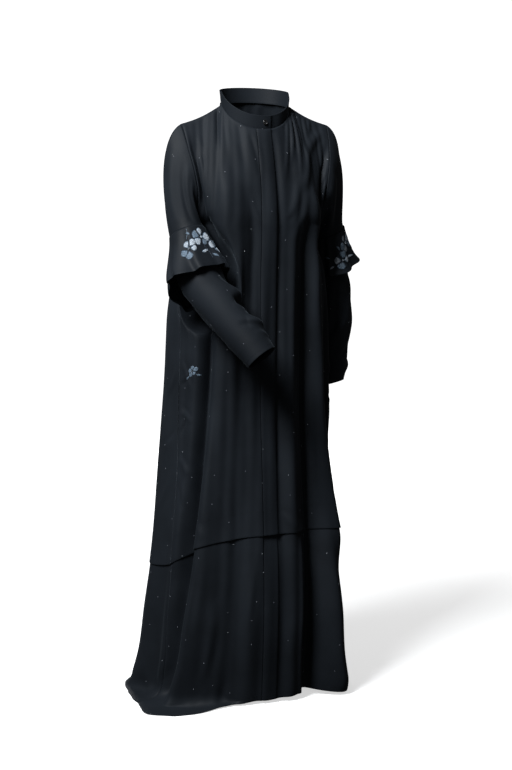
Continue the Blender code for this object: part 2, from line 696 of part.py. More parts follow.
def make_body(cloth, collection):
    beyond = np.linspace(W_PLACKET, 1, FRONT_STEPS + 1)
    strip = np.linspace(-W_PLACKET, W_PLACKET, PLACKET_STEPS + 1)
    tiers = (
        ("front_right", "front_left", "placket_upper", "back", upper_rows),
        ("skirt_front_right", "skirt_front_left", "placket_lower", "skirt_back", lower_rows),
    )
    for right_name, left_name, placket_name, back_name, rows_of in tiers:
        upper = rows_of is upper_rows
        for name, columns in (
            (right_name, -beyond[::-1]),
            (left_name, np.concatenate([strip[:-1], beyond])),
            (placket_name, strip),
            (back_name, np.linspace(1, 3, BACK_STEPS + 1)),
        ):
            v = rows_of(columns)
            w = np.broadcast_to(columns, v.shape)
            q = w if name == back_name else column_q(w, v)
            lift = tuck_lift(q, v) if upper else 0 * v
            free = smoothstep((v - 2) / SKIRT_EASE_V)
            thickness = CLOTH
            face = (PANEL_FACE if upper else SKIRT_FACE) + lift
            if name == right_name:
                at_placket = np.isclose(w, -W_PLACKET)
                q = np.where(at_placket, q - PLACKET_GAP_Q, q)
            if name == left_name:
                under = UNDERLAP_FACE if upper else SKIRT_UNDERLAP_FACE
                under = under + (0 if upper else SKIRT_UNDERLAP_RISE * free)
                beside = smoothstep((w - W_PLACKET) / UNDERLAP_EASE_W)
                face = under + (face - lift - under) * beside + lift
            if name == placket_name:
                face = (PLACKET_FACE if upper else SKIRT_PLACKET_FACE + SKIRT_PLACKET_RISE * free) + lift
                thickness = DOUBLE_CLOTH if upper else SKIRT_PLACKET_CLOTH
            gap = SEAM_HALF_GAP_Q + POCKET_HALF_GAP_Q * pocket_mouth(v)
            q = np.clip(q, 1 + gap, 3 - gap) if name == back_name else np.clip(q, gap - 1, 1 - gap)
            body_panel(name, q, v, face, thickness, cloth, collection)


def armhole_normals(panel_out, sleeve_out):
    """The edge faces as the panel does, but as the sleeve does where the sleeve turns off sharply."""
    panel_out = unit(panel_out)
    agree = (panel_out * sleeve_out).sum(axis=-1, keepdims=True)
    turned = smoothstep((ARMHOLE_AGREE - agree) / ARMHOLE_AGREE_FADE)
    return unit(panel_out * (1 - turned) + sleeve_out * turned)


def make_sleeves(cloth, collection):
    half_turn = np.linspace(0, 180, YOKE_STEPS + 1)
    turns = np.concatenate([half_turn, 360 - half_turn[-2:0:-1]])
    for arm in ARMS:
        side, table = ARMS[arm]

        def upper(degrees, t):
            return sleeve_upper(arm, degrees, t)

        def lower(degrees, station):
            return sleeve_lower(arm, degrees, station)

        def frill(degrees, t):
            return flounce(arm, degrees, t)

        seam_centre = np.array(table[0][1:4])
        seam_way = unit(np.array(table[0][4:7]))
        degrees, t = np.meshgrid(turns, np.linspace(0, 1, SLEEVE_STEPS + 1))
        outer = upper(degrees, t)
        normals = tube_out(upper, degrees, t, 0, 1) * -side
        normals[0] = armhole_normals(armhole_edge(arm, degrees[0])[2], normals[0])
        normals[-1] = unit(outer[-1] - seam_centre)
        make_wall("sleeve_upper_" + arm, outer, normals, CLOTH, cloth, collection, closed=True)

        degrees, station = np.meshgrid(turns, np.linspace(0, table[-1][0], FOREARM_STEPS + 1))
        outer = lower(degrees, station)
        normals = tube_out(lower, degrees, station, 0, table[-1][0]) * -side
        normals[0] = unit(outer[0] - seam_centre)
        outer[0] = outer[0] + seam_way * SEAM_GAP
        make_wall("sleeve_lower_" + arm, outer, normals, CLOTH, cloth, collection, closed=True)

        frill_turns = np.arange(FLOUNCE_COLUMNS) * 360 / FLOUNCE_COLUMNS
        degrees, t = np.meshgrid(frill_turns, np.linspace(0, 1, FLOUNCE_STEPS + 1))
        outer = frill(degrees, t)
        normals = tube_out(frill, degrees, t, 0, 1) * -side
        normals[0] = unit(outer[0] - seam_centre)
        outer[0] = outer[0] + seam_way * SEAM_GAP
        make_wall("flounce_" + arm, outer, normals, CLOTH, cloth, collection, closed=True)


def make_collar(cloth, horn, collection):
    turns = np.concatenate([[COLLAR_START], np.arange(0, 361, COLLAR_STEP), [COLLAR_END]])
    degrees, share = np.meshgrid(turns, np.linspace(0, 1, 3))
    outer, level_out = collar(degrees, share)
    make_wall("collar", outer, level_out, DOUBLE_CLOTH, cloth, collection)

    face, level_out = collar(np.array([BUTTON_TURN]), np.array([0.5]))
    bpy.ops.mesh.primitive_cylinder_add(
        vertices=BUTTON_SIDES, radius=BUTTON_RADIUS, depth=BUTTON_THICKNESS)
    button = bpy.context.object
    button.name = "collar_button"
    button.data.name = "collar_button"
    seat = BUTTON_SEAT + BUTTON_THICKNESS / 2
    button.location = Vector(face[0] + level_out[0] * seat)
    button.rotation_euler = Vector(level_out[0]).to_track_quat("Z", "Y").to_euler()
    button.data.materials.append(horn)
    rounding = button.modifiers.new("Rounding", "BEVEL")
    rounding.width = BUTTON_ROUNDING
    rounding.segments = 2
    for other in button.users_collection:
        other.objects.unlink(button)
    collection.objects.link(button)


def main():
    for leftover in list(bpy.data.objects):
        bpy.data.objects.remove(leftover, do_unlink=True)
    collection = bpy.data.collections.new("Abaya dress")
    bpy.context.scene.collection.children.link(collection)
    cloth = make_material("Black crepe", (0.010, 0.012, 0.016), 0.72)
    frill_cloth = make_material("Embroidered crepe", (0.012, 0.014, 0.019), 0.70)
    horn = make_material("Black horn", (0.006, 0.006, 0.007), 0.30)
    make_body(cloth, collection)
    make_sleeves(cloth, collection)
    make_collar(cloth, horn, collection)


main()
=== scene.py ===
"""Crepe shirt dress with elbow flounces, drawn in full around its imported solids.

The form is worked out as the solids are, on a finer grid and with the smaller creases. A place
on the cloth is given by q, which runs round the body (0 centre front, 1 side seam on the
wearer's left, 2 centre back, negative on the wearer's right), and v, which runs down it (0
neckline and shoulder seam, 1 underarm, 2 edge of the tuck, 3 hem). Lengths are metres.
"""

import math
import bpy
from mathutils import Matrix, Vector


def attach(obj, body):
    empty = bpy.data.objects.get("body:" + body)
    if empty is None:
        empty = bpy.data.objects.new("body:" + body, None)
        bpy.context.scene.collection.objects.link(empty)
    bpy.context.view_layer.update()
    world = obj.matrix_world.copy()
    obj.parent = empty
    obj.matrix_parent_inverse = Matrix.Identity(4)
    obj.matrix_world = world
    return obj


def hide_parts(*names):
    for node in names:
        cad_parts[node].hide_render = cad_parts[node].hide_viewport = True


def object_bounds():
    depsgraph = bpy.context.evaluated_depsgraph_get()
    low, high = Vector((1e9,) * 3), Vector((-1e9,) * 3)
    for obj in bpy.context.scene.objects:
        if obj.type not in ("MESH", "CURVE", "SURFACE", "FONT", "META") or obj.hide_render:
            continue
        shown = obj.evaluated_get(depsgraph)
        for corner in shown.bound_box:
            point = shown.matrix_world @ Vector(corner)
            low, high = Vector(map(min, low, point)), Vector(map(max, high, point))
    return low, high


bl_info = {
    "name": "Crepe Abaya Dress",
    "version": (1, 0, 0),
    "blender": (4, 5, 0),
    "location": "View3D > Sidebar > Dress",
    "description": "Builds a worn crepe shirt dress with embroidered elbow flounces",
    "category": "Object",
}

import bmesh
import bpy
import numpy as np
from bpy.props import FloatProperty, FloatVectorProperty, IntProperty, PointerProperty
from mathutils import Vector

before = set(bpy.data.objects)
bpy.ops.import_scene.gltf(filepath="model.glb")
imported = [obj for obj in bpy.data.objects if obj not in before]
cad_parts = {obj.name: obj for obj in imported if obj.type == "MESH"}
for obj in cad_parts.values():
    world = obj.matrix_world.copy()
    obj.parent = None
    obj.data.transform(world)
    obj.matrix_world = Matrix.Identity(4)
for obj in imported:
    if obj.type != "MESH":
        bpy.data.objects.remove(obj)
CAD_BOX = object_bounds()
BODY = "root"
IMAGE_SIZE = (512, 770)
IMAGE_CENTRE_X = 253.5

# Cloth and the gaps between layers and at seams
CLOTH = 0.0015
DOUBLE_CLOTH = 0.0020
LAYER_GAP = 0.0003
SEAM_GAP = 0.0003
SEAM_HALF_GAP_Q = 0.0007
SEAM_HALF_GAP_V = 0.0004

# How far out each layer's outer face lies from the body's own form
PANEL_FACE = 0.0015
PLACKET_FACE = 0.0026
UNDERLAP_FACE = 0.0003
SKIRT_FACE = -0.0003
SKIRT_PLACKET_FACE = -0.0015
SKIRT_PLACKET_RISE = 0.0023
SKIRT_UNDERLAP_FACE = -0.0036
SKIRT_UNDERLAP_RISE = 0.0021
SKIRT_EASE_V = 0.14
UNDERLAP_EASE_W = 0.15

# Levels and widths
UNDERARM_DROP = 0.285
TUCK_DEPTH = 0.060
# How far the tuck's free edge stands out, and how that changes round the body
TUCK_LIFT = 0.0035
TUCK_DRAWN_LIFT = 0.40
TUCK_LIFT_CHANGE = 0.28
TUCK_LIFT_WAVES = 17.0
TUCK_LIFT_PHASE = 1.2
# The placket's half width, also as columns of w; the pocket's mouth in the side seam
PLACKET_HALF_WIDTH = 0.0185
W_PLACKET = 0.08
POCKET_V = (1.42, 1.68)
POCKET_FADE = 0.06
POCKET_HALF_GAP_Q = 0.0035

# How far apart two places are taken to find a slope
STEP = 0.002

# Neckline, shoulder and collar
# Share of a half panel that the neckline takes; the front and back centre's y and drop
NECK_SHARE = 0.5
NECK_HALF_WIDTH = 0.084
NECK_SIDE_Y = -0.008
NECK_FRONT = (-0.070, 0.060)
NECK_BACK = (0.060, -0.012)
SHOULDER_UPRIGHT = (0.415, 0.0, 0.910)
SHOULDER_EASE_V = 0.03
SHOULDER_EASE = 0.05
SHOULDER_SAG = 0.12
FRONT_FALL_POWER = 1.8
BACK_FALL_POWER = 1.0
ARMHOLE_REACH = 2.5
COLLAR_CENTRE = (0.0, -0.005, 0.0)
COLLAR_HEIGHT = 0.031
COLLAR_LEAN = 0.003
COLLAR_FACE = -0.0003
COLLAR_START = -11.0
COLLAR_END = 373.0
COLLAR_LIFT_TURN = 15.0
COLLAR_EASE_TURN = 6.0
COLLAR_UNDER_END = 18.0
COLLAR_UNDER_FADE = 16.0
BUTTON_TURN = 362.0
BUTTON_SEAT = 0.0006

# Where the hanging cloth bends over onto the floor
FLOOR_BEND = 0.030
FLOOR_FLATTENING = 0.6
LOWEST = -1.4585

# The arms: side, then a row for each ring of the sleeve.
# station, centre x, y, z, way along the arm x, y, z, half width outwards, half width forwards
ARMS = {
    "right": (-1, (
        (0.0, -0.184, -0.044, -0.308, 0.14, -0.46, -0.88, 0.042, 0.046),
        (1.0, -0.170, -0.090, -0.405, 0.32, -0.58, -0.75, 0.054, 0.052),
        (2.0, -0.128, -0.140, -0.480, 0.47, -0.52, -0.71, 0.051, 0.047),
        (3.0, -0.090, -0.178, -0.542, 0.50, -0.48, -0.72, 0.045, 0.041),
        (4.0, -0.056, -0.210, -0.592, 0.50, -0.48, -0.72, 0.041, 0.035),
    )),
    "left": (1, (
        (0.0, 0.210, 0.045, -0.309, 0.36, 0.14, -0.92, 0.044, 0.052),
        (1.0, 0.223, 0.060, -0.410, 0.06, 0.08, -0.99, 0.046, 0.056),
        (2.0, 0.230, 0.062, -0.500, -0.02, -0.02, -1.00, 0.051, 0.055),
        (3.0, 0.225, 0.056, -0.600, -0.06, -0.08, -0.99, 0.049, 0.050),
        (4.0, 0.215, 0.045, -0.692, 0.20, -0.12, -0.97, 0.043, 0.046),
    )),
}
SLEEVE_START = (0.95, 0.0, -0.50)
SLEEVE_REACH = 0.75
# Round the underarm the sleeve starts a little way off the panels' edge
UNDERARM_TURN = 190.0
UNDERARM_REACH = 100.0
UNDERARM_FADE = 40.0
UNDERARM_EASE = 0.0019

# Crossways folds of the lower sleeves: station, turn, height, half length, half width in degrees
SLEEVE_FOLDS = {
    "right": (
        (0.90, 190.0, 0.006, 0.25, 60.0),
        (1.45, 150.0, -0.005, 0.22, 70.0),
        (1.90, 200.0, 0.006, 0.25, 60.0),
        (2.30, 165.0, -0.010, 0.26, 42.0),
        (2.85, 190.0, 0.005, 0.24, 50.0),
        (3.40, 180.0, 0.003, 0.20, 80.0),
    ),
    "left": (
        (1.30, 40.0, 0.003, 0.30, 60.0),
        (2.40, 20.0, 0.004, 0.30, 70.0),
        (3.00, 60.0, -0.003, 0.25, 60.0),
        (3.60, 10.0, 0.003, 0.22, 80.0),
    ),
}

# Elbow frills: length in stations, flare at the front, flare at the back, drop of the back, phase,
# and where the frill stands out at the side: its turn, lift and flare
FLOUNCES = {
    "right": (1.15, 0.008, 0.018, 0.028, 0.6, -10.0, 0.050, 0.018),
    "left": (1.00, 0.016, 0.016, 0.004, 2.1, 15.0, 0.034, 0.004),
}
FLOUNCE_SIDE_TURN = 48.0
FLOUNCE_WAVES = 9
FLOUNCE_WAVE = 0.010
FLOUNCE_GATHER = 0.0015
FLOUNCE_FLARE_POWER = 1.3
FLOUNCE_UNEVENNESS = ((2, 0.18), (5, 0.10))

# Level sections of the body below the underarm.
# drop, half width right, half width left, front y, back y, squareness, angle of the side seam
SECTIONS = (
    (0.285, 0.154, 0.154, -0.112, 0.126, 0.10, 90.0),
    (0.330, 0.154, 0.156, -0.110, 0.136, 0.07, 85.0),
    (0.400, 0.182, 0.175, -0.107, 0.160, 0.07, 76.0),
    (0.490, 0.200, 0.191, -0.105, 0.179, 0.04, 70.0),
    (0.590, 0.203, 0.198, -0.103, 0.205, 0.03, 69.0),
    (0.700, 0.203, 0.200, -0.103, 0.225, 0.03, 69.0),
    (0.870, 0.210, 0.210, -0.112, 0.238, 0.03, 69.0),
    (1.035, 0.223, 0.221, -0.122, 0.246, 0.03, 69.0),
    (1.130, 0.233, 0.230, -0.128, 0.254, 0.03, 68.0),
    (1.240, 0.242, 0.239, -0.128, 0.268, 0.04, 68.0),
    (1.360, 0.248, 0.242, -0.120, 0.292, 0.04, 68.0),
    (1.460, 0.262, 0.255, -0.112, 0.332, 0.05, 68.0),
)

# Levels that change round the body.
# q, drop of the tuck's edge, drop of the hem, how far the hem runs out on the floor
LEVELS = (
    (-2.00, 1.095, 1.452, 0.010),
    (-1.50, 1.120, 1.457, 0.015),
    (-1.25, 1.130, 1.458, 0.030),
    (-1.00, 1.115, 1.458, 0.064),
    (-0.78, 1.080, 1.458, 0.094),
    (-0.58, 1.056, 1.458, 0.075),
    (-0.40, 1.045, 1.455, 0.025),
    (-0.20, 1.038, 1.453, 0.000),
    (0.00, 1.036, 1.452, 0.000),
    (0.36, 1.034, 1.444, 0.000),
    (0.55, 1.036, 1.450, 0.000),
    (0.80, 1.045, 1.453, 0.000),
    (1.30, 1.065, 1.453, 0.000),
    (2.00, 1.095, 1.452, 0.010),
)

# The armhole, the same on both sides.
# share of the way down, x, y of the front edge, y of the back edge, drop
ARMHOLE = (
    (0.00, 0.187, -0.010, -0.010, 0.047),
    (0.25, 0.181, -0.045, 0.030, 0.105),
    (0.50, 0.171, -0.064, 0.055, 0.165),
    (0.75, 0.160, -0.058, 0.060, 0.228),
    (0.90, 0.155, -0.030, 0.044, 0.270),
    (1.00, 0.154, 0.007, 0.007, 0.285),
)
# Lines along which the sleeves press on the body: start, end, radius at each.
PRESSING = (
    ((-0.184, -0.044, -0.298), (-0.170, -0.090, -0.405), 0.060, 0.080),
    ((-0.170, -0.090, -0.405), (-0.128, -0.140, -0.480), 0.080, 0.062),
    ((-0.170, -0.078, -0.400), (-0.158, -0.078, -0.470), 0.092, 0.080),
    ((0.210, 0.045, -0.315), (0.223, 0.060, -0.410), 0.058, 0.088),
    ((0.223, 0.060, -0.410), (0.226, 0.062, -0.500), 0.086, 0.070),
    ((0.226, 0.062, -0.500), (0.213, 0.043, -0.740), 0.076, 0.072),
)
PRESS_SOFTNESS = 0.011
PRESS_TOP = 0.96
PRESS_FADE = 0.10

# Folds that run down the body. Each follows five places evenly spaced from its top to its end.
# v at the top, v at the end, v to fade, q at the five places, height at the top, height at the
# end, width towards the wearer's right, width towards the left
FOLDS = (
    (0.45, 3.30, 0.30, (-0.42, -0.43, -0.59, -0.73, -0.80), 0.006, 0.036, 0.085, 0.150),
    (0.85, 3.30, 0.20, (-0.66, -0.63, -0.81, -0.91, -0.97), -0.018, -0.022, 0.090, 0.080),
    (1.05, 2.15, 0.25, (-0.72, -0.71, -0.75, -0.88, -0.98), 0.008, 0.008, 0.100, 0.080),
    (0.10, 1.10, 0.25, (-0.93, -0.90, -0.84, -0.76, -0.68), -0.006, -0.012, 0.060, 0.070),
    (0.55, 1.50, 0.30, (-0.20, -0.18, -0.17, -0.18, -0.22), -0.007, -0.004, 0.080, 0.080),
    (1.60, 3.30, 0.50, (-0.30, -0.30, -0.32, -0.34, -0.36), -0.003, -0.010, 0.070, 0.090),
    (2.10, 3.30, 0.30, (-0.18, -0.18, -0.19, -0.20, -0.21), 0.003, 0.009, 0.060, 0.060),
    (0.90, 3.30, 0.40, (0.26, 0.25, 0.23, 0.21, 0.20), 0.007, 0.012, 0.070, 0.060),
    (0.90, 3.30, 0.30, (0.46, 0.46, 0.44, 0.40, 0.38), -0.020, -0.030, 0.080, 0.080),
    (1.95, 3.30, 0.20, (0.30, 0.30, 0.29, 0.29, 0.28), 0.006, 0.010, 0.030, 0.035),
    (0.08, 0.72, 0.15, (0.90, 0.70, 0.53, 0.44, 0.40), 0.007, 0.008, 0.070, 0.060),
    (0.55, 2.30, 0.30, (0.41, 0.55, 0.64, 0.70, 0.74), 0.010, 0.018, 0.080, 0.090),
    (0.15, 1.20, 0.25, (0.97, 0.86, 0.74, 0.74, 0.80), -0.006, -0.014, 0.060, 0.060),
    (0.75, 1.80, 0.25, (0.52, 0.72, 0.86, 0.92, 0.98), 0.006, 0.012, 0.060, 0.060),
    (1.70, 3.30, 0.40, (0.66, 0.63, 0.61, 0.60, 0.60), 0.010, 0.080, 0.100, 0.140),
    (1.70, 3.30, 0.40, (0.98, 0.96, 0.94, 0.92, 0.90), -0.008, -0.022, 0.100, 0.090),
    (1.20, 3.30, 0.50, (1.22, 1.22, 1.21, 1.20, 1.20), 0.008, 0.030, 0.100, 0.120),
    (0.70, 3.30, 0.50, (1.46, 1.46, 1.45, 1.44, 1.44), -0.008, -0.024, 0.090, 0.090),
    (0.60, 3.30, 0.50, (1.68, 1.68, 1.70, 1.70, 1.70), 0.006, 0.024, 0.090, 0.100),
    (0.50, 3.30, 0.50, (1.94, 1.94, 1.95, 1.96, 1.96), -0.008, -0.022, 0.110, 0.110),
    (0.60, 3.30, 0.50, (-1.74, -1.74, -1.72, -1.70, -1.70), 0.006, 0.024, 0.100, 0.090),
    (0.80, 3.30, 0.50, (-1.50, -1.50, -1.50, -1.50, -1.50), -0.007, -0.022, 0.090, 0.100),
    (1.30, 3.30, 0.50, (-1.24, -1.24, -1.26, -1.28, -1.30), 0.008, 0.024, 0.110, 0.100),
    (1.60, 3.30, 0.40, (-1.06, -1.07, -1.09, -1.10, -1.12), -0.004, -0.014, 0.060, 0.060),
)

# Gathers fan out from the neck and shoulder seam on the wearer's left.
# q at the seam, q at the end, v at the end, height
GATHERS = (
    (0.29, 0.17, 0.62, 0.0040),
    (0.37, 0.25, 0.48, 0.0045),
    (0.45, 0.33, 0.70, 0.0050),
    (0.53, 0.41, 0.52, 0.0045),
    (0.61, 0.48, 0.44, 0.0045),
    (0.69, 0.55, 0.36, 0.0040),
    (0.77, 0.62, 0.26, 0.0035),
)
GATHER_WIDTH = 0.026
GATHER_TOP_FADE = 0.06
GATHER_END_SHARE = 0.6
PLEAT = (-0.56, -0.52, 0.42, -0.0050)


def along(table, x):
    """Each further column of a table at x, on smooth curves through its rows."""
    rows = np.asarray(table, float)
    xs = rows[:, 0]
    ys = rows[:, 1:]
    slopes = np.gradient(ys, xs, axis=0)
    x = np.clip(np.asarray(x, float), xs[0], xs[-1])
    i = np.clip(np.searchsorted(xs, x, side="right") - 1, 0, len(xs) - 2)
    span = (xs[i + 1] - xs[i])[..., None]
    t = (x - xs[i])[..., None] / span
    rise = t * t * (3 - 2 * t)
    value = ys[i] * (1 - rise) + ys[i + 1] * rise
    value = value + span * (t * (1 - t) ** 2 * slopes[i] - t * t * (1 - t) * slopes[i + 1])
    return np.moveaxis(value, -1, 0)


def smoothstep(x):
    x = np.clip(x, 0.0, 1.0)
    return x * x * (3 - 2 * x)


def between(x, start, end, fade_in, fade_out):
    """1 between start and end, and 0 beyond them, with a soft change just inside each."""
    return smoothstep((x - start) / fade_in) * smoothstep((end - x) / fade_out)


def unit(vectors):
    return vectors / np.linalg.norm(vectors, axis=-1, keepdims=True)


def wrapped(q):
    """q brought back into the range from -2 to 2."""
    return (np.asarray(q, float) + 2.0) % 4.0 - 2.0


def panel_share(q):
    """How far a place lies from the centre of its own panel (0) to the panel's side (1)."""
    part = np.abs(wrapped(q))
    return np.where(part <= 1, part, 2 - part)


def left_or_right(q):
    """1 on the wearer's left and -1 on the right."""
    return np.where(wrapped(q) >= 0, 1.0, -1.0)


def signed_turn(degrees):
    """Degrees brought back into the range from -180 to 180."""
    return (np.asarray(degrees, float) + 180) % 360 - 180


def cos_sin(degrees):
    """Cosine and sine of an angle in degrees."""
    turn = math.radians(degrees)
    return math.cos(turn), math.sin(turn)


def ring(q, drop):
    """A point of the level section at a drop, without folds."""
    q = wrapped(q)
    right, left, front, back, square, seam = along(SECTIONS, drop)
    part = np.abs(q)
    degrees = np.where(part <= 1, part * seam, seam + (part - 1) * (180 - seam))
    angle = np.radians(degrees)
    swell = 1 + square * np.sin(2 * angle) ** 2
    half = np.where(q >= 0, left, right)
    x = left_or_right(q) * half * np.sin(angle) * swell
    y = (front + back) / 2 - (back - front) / 2 * np.cos(angle) * swell
    return np.stack([x, y, -drop + 0 * x], axis=-1)


def neck_and_shoulder(s, front):
    """Top edge of a half panel, from its centre (s 0) past the neck point to the shoulder tip."""
    turn = np.radians(90 * np.clip(s / NECK_SHARE, 0, 1))
    centre_y = np.where(front, NECK_FRONT[0], NECK_BACK[0])
    centre_drop = np.where(front, NECK_FRONT[1], NECK_BACK[1])
    x = NECK_HALF_WIDTH * np.sin(turn)
    y = NECK_SIDE_Y + (centre_y - NECK_SIDE_Y) * np.cos(turn)
    drop = centre_drop * np.cos(turn)
    tip = ARMHOLE[0]
    out = np.clip((s - NECK_SHARE) / (1 - NECK_SHARE), 0, 1)
    x = x + (tip[1] - NECK_HALF_WIDTH) * out
    y = y + (tip[2] - NECK_SIDE_Y) * out
    drop = drop + tip[4] * (out + SHOULDER_SAG * np.sin(math.pi * out))
    return np.stack([x, y, -drop], axis=-1)


def yoke(q, t):
    """A place above the underarm: the top edge falls to the underarm's ring and bends to the armhole."""
    front = np.abs(wrapped(q)) <= 1
    s = panel_share(q)
    power = np.where(front, FRONT_FALL_POWER, BACK_FALL_POWER)
    fall = (1 - (1 - t) ** power)[..., None]
    blend = np.concatenate([fall, fall, t[..., None]], axis=-1)

    def falling(share):
        low = ring(np.where(front, share, 2 - share), UNDERARM_DROP + 0 * share)
        return (1 - blend) * neck_and_shoulder(share, front) + blend * low

    arm_x, arm_front, arm_back, arm_drop = along(ARMHOLE, t)
    armhole = np.stack([arm_x, np.where(front, arm_front, arm_back), -arm_drop], axis=-1)
    point = falling(s) + (s ** ARMHOLE_REACH)[..., None] * (armhole - falling(1 + 0 * s))
    point[..., 0] = point[..., 0] * left_or_right(q)
    return point


def bump(distance, right_width, left_width):
    width = np.where(distance < 0, right_width, left_width)
    return np.exp(-(distance / width) ** 2)


def fold_height(q, v):
    """How far the folds lift the cloth off its plain form."""
    height = np.zeros(np.shape(q))
    for top, end, fade, places, first, last, right_width, left_width in FOLDS:
        share = np.clip((v - top) / (end - top), 0, 1)
        steps = np.linspace(0, 1, len(places))
        path = along(list(zip(steps, places)), share)[0]
        shown = between(v, top, end, fade, fade)
        rise = (first + (last - first) * share) * shown
        height = height + rise * bump(wrapped(q - path), right_width, left_width)
    for seam_q, end_q, end, rise in GATHERS + (PLEAT,):
        share = np.clip(v / end, 0, 1)
        path = seam_q + (end_q - seam_q) * share
        shown = between(v, 0, end, GATHER_TOP_FADE, GATHER_END_SHARE * end)
        height = height + rise * shown * bump(q - path, GATHER_WIDTH, GATHER_WIDTH)
    return height


def drop_and_run(q, v):
    """Drop below the neck point and how far out on the floor, for places under the armhole."""
    tuck, hem, run = along(LEVELS, wrapped(q))
    upper = UNDERARM_DROP + (tuck - UNDERARM_DROP) * (v - 1)
    bend = np.maximum(np.minimum(run, FLOOR_BEND), 1e-4)
    length = (v - 2) * (hem - tuck + run)
    past = np.maximum(length - (hem - tuck - bend), 0)
    turning = np.minimum(past, 2 * bend)
    out = turning ** 2 / (4 * bend) + np.maximum(past - 2 * bend, 0)
    down = turning - turning ** 2 / (4 * bend)
    lower = tuck + np.minimum(length, hem - tuck - bend) + down
    return np.where(v <= 2, upper, lower), np.where(v <= 2, 0, out)


def plain_body(q, v, on_floor=True):
    """The body without folds; off the floor, its hem hangs straight down."""
    high = yoke(q, np.clip(v, 0, 1))
    if on_floor:
        drop = drop_and_run(q, np.clip(v, 1, 3))[0]
    else:
        tuck, hem = along(LEVELS, wrapped(q))[0:2]
        drop = tuck + (v - 2) * np.where(v < 2, tuck - UNDERARM_DROP, hem - tuck)
    low = ring(q, drop)
    return np.where((v < 1)[..., None], high, low)


def hanging_body(q, v):
    return plain_body(q, v, on_floor=False)


def panel_reach(q, v):
    """The range of q over which the cloth is whole: one panel above the underarm, all below it."""
    front = np.abs(q) <= 1
    low = np.where(front, -1.0, np.where(q > 0, 1.0, -3.0))
    high = np.where(front, 1.0, np.where(q > 0, 3.0, -1.0))
    return np.where(v < 1, low, -4.0), np.where(v < 1, high, 4.0)


def slope_across(surface, q, v):
    low, high = panel_reach(q, v)
    inner = surface(np.maximum(q - STEP, low), v)
    return surface(np.minimum(q + STEP, high), v) - inner


def slope_down(surface, q, v):
    """The way down the cloth; the armhole bends sharply at v 1, so neither side reads past it."""
    yoke_place = v < 1
    higher = surface(q, np.maximum(v - STEP, np.where(yoke_place, 0, 1)))
    return surface(q, np.minimum(v + STEP, np.where(yoke_place, 1, 3))) - higher


def outward(surface, q, v):
    """The direction that faces out of the cloth."""
    return unit(np.cross(slope_down(surface, q, v), slope_across(surface, q, v)))


def pressed(points, v):
    """The cloth of the body gives way where a sleeve lies against it."""
    shown = smoothstep((v - PRESS_TOP) / PRESS_FADE)
    for start, end, start_radius, end_radius in PRESSING:
        start = np.array(start)
        line = np.array(end) - start
        share = np.clip((points - start) @ line / (line @ line), 0, 1)
        away = points - (start + share[..., None] * line)
        distance = np.linalg.norm(away, axis=-1)
        radius = start_radius + (end_radius - start_radius) * share
        push = PRESS_SOFTNESS * np.logaddexp(0, (radius - distance) / PRESS_SOFTNESS)
        points = points + unit(away) * (push * shown)[..., None]
    return points


def body(q, v):
    """A place on the body with its folds, as far as the hem."""
    q, v = np.broadcast_arrays(np.asarray(q, float), np.asarray(v, float))
    normal = outward(hanging_body, q, v)
    out = drop_and_run(q, np.clip(v, 1, 3))[1]
    height = fold_height(q, v) * (1 - FLOOR_FLATTENING * smoothstep(out / FLOOR_BEND))
    points = plain_body(q, v) + normal * height[..., None]
    points = pressed(points, v)
    level = unit(normal * np.array([1.0, 1.0, 0.0]))
    points = points + level * out[..., None]
    points[..., 2] = np.maximum(points[..., 2], LOWEST)
    return points


def stitch_v(q):
    """The level of the tuck's stitch line, as a value of v."""
    tuck = along(LEVELS, wrapped(q))[0]
    return 2 - TUCK_DEPTH / (tuck - UNDERARM_DROP)


def placket_q(v):
    """Half of the placket's width, as a value of q."""
    near = plain_body(STEP + 0 * v, v) - plain_body(0 * v, v)
    return PLACKET_HALF_WIDTH * STEP / np.linalg.norm(near, axis=-1)


def column_q(w, v):
    """q of a column: the columns within W_PLACKET of the centre keep to the placket's width."""
    edge = placket_q(v)
    size = np.abs(w)
    near = size / W_PLACKET * edge
    far = edge + (size - W_PLACKET) / (1 - W_PLACKET) * (1 - edge)
    return np.sign(w) * np.where(size <= W_PLACKET, near, far)


def tuck_lift(q, v):
    """How far the tuck stands out, from its stitch line down to its edge."""
    stitch = stitch_v(q)
    return TUCK_LIFT * np.clip((v - stitch) / (2 - stitch), 0, 1) ** 2


def pocket_mouth(v):
    """1 where the side seam is left open as a pocket's mouth, 0 elsewhere."""
    return between(v, *POCKET_V, POCKET_FADE, POCKET_FADE)


def arm_ring(arm, station, degrees):
    """A place on the plain sleeve at a station of its arm's table."""
    side, table = ARMS[arm]
    columns = along(table, station)
    centre = np.stack(columns[0:3], axis=-1)
    along_arm = unit(np.stack(columns[3:6], axis=-1))
    sideways = np.array([side, 0.0, 0.0])
    out = unit(sideways - (along_arm @ sideways)[..., None] * along_arm)
    forward = side * np.cross(along_arm, out)
    turn = np.radians(degrees)
    reach_out = (columns[6] * np.cos(turn))[..., None] * out
    return centre + reach_out + (columns[7] * np.sin(turn))[..., None] * forward


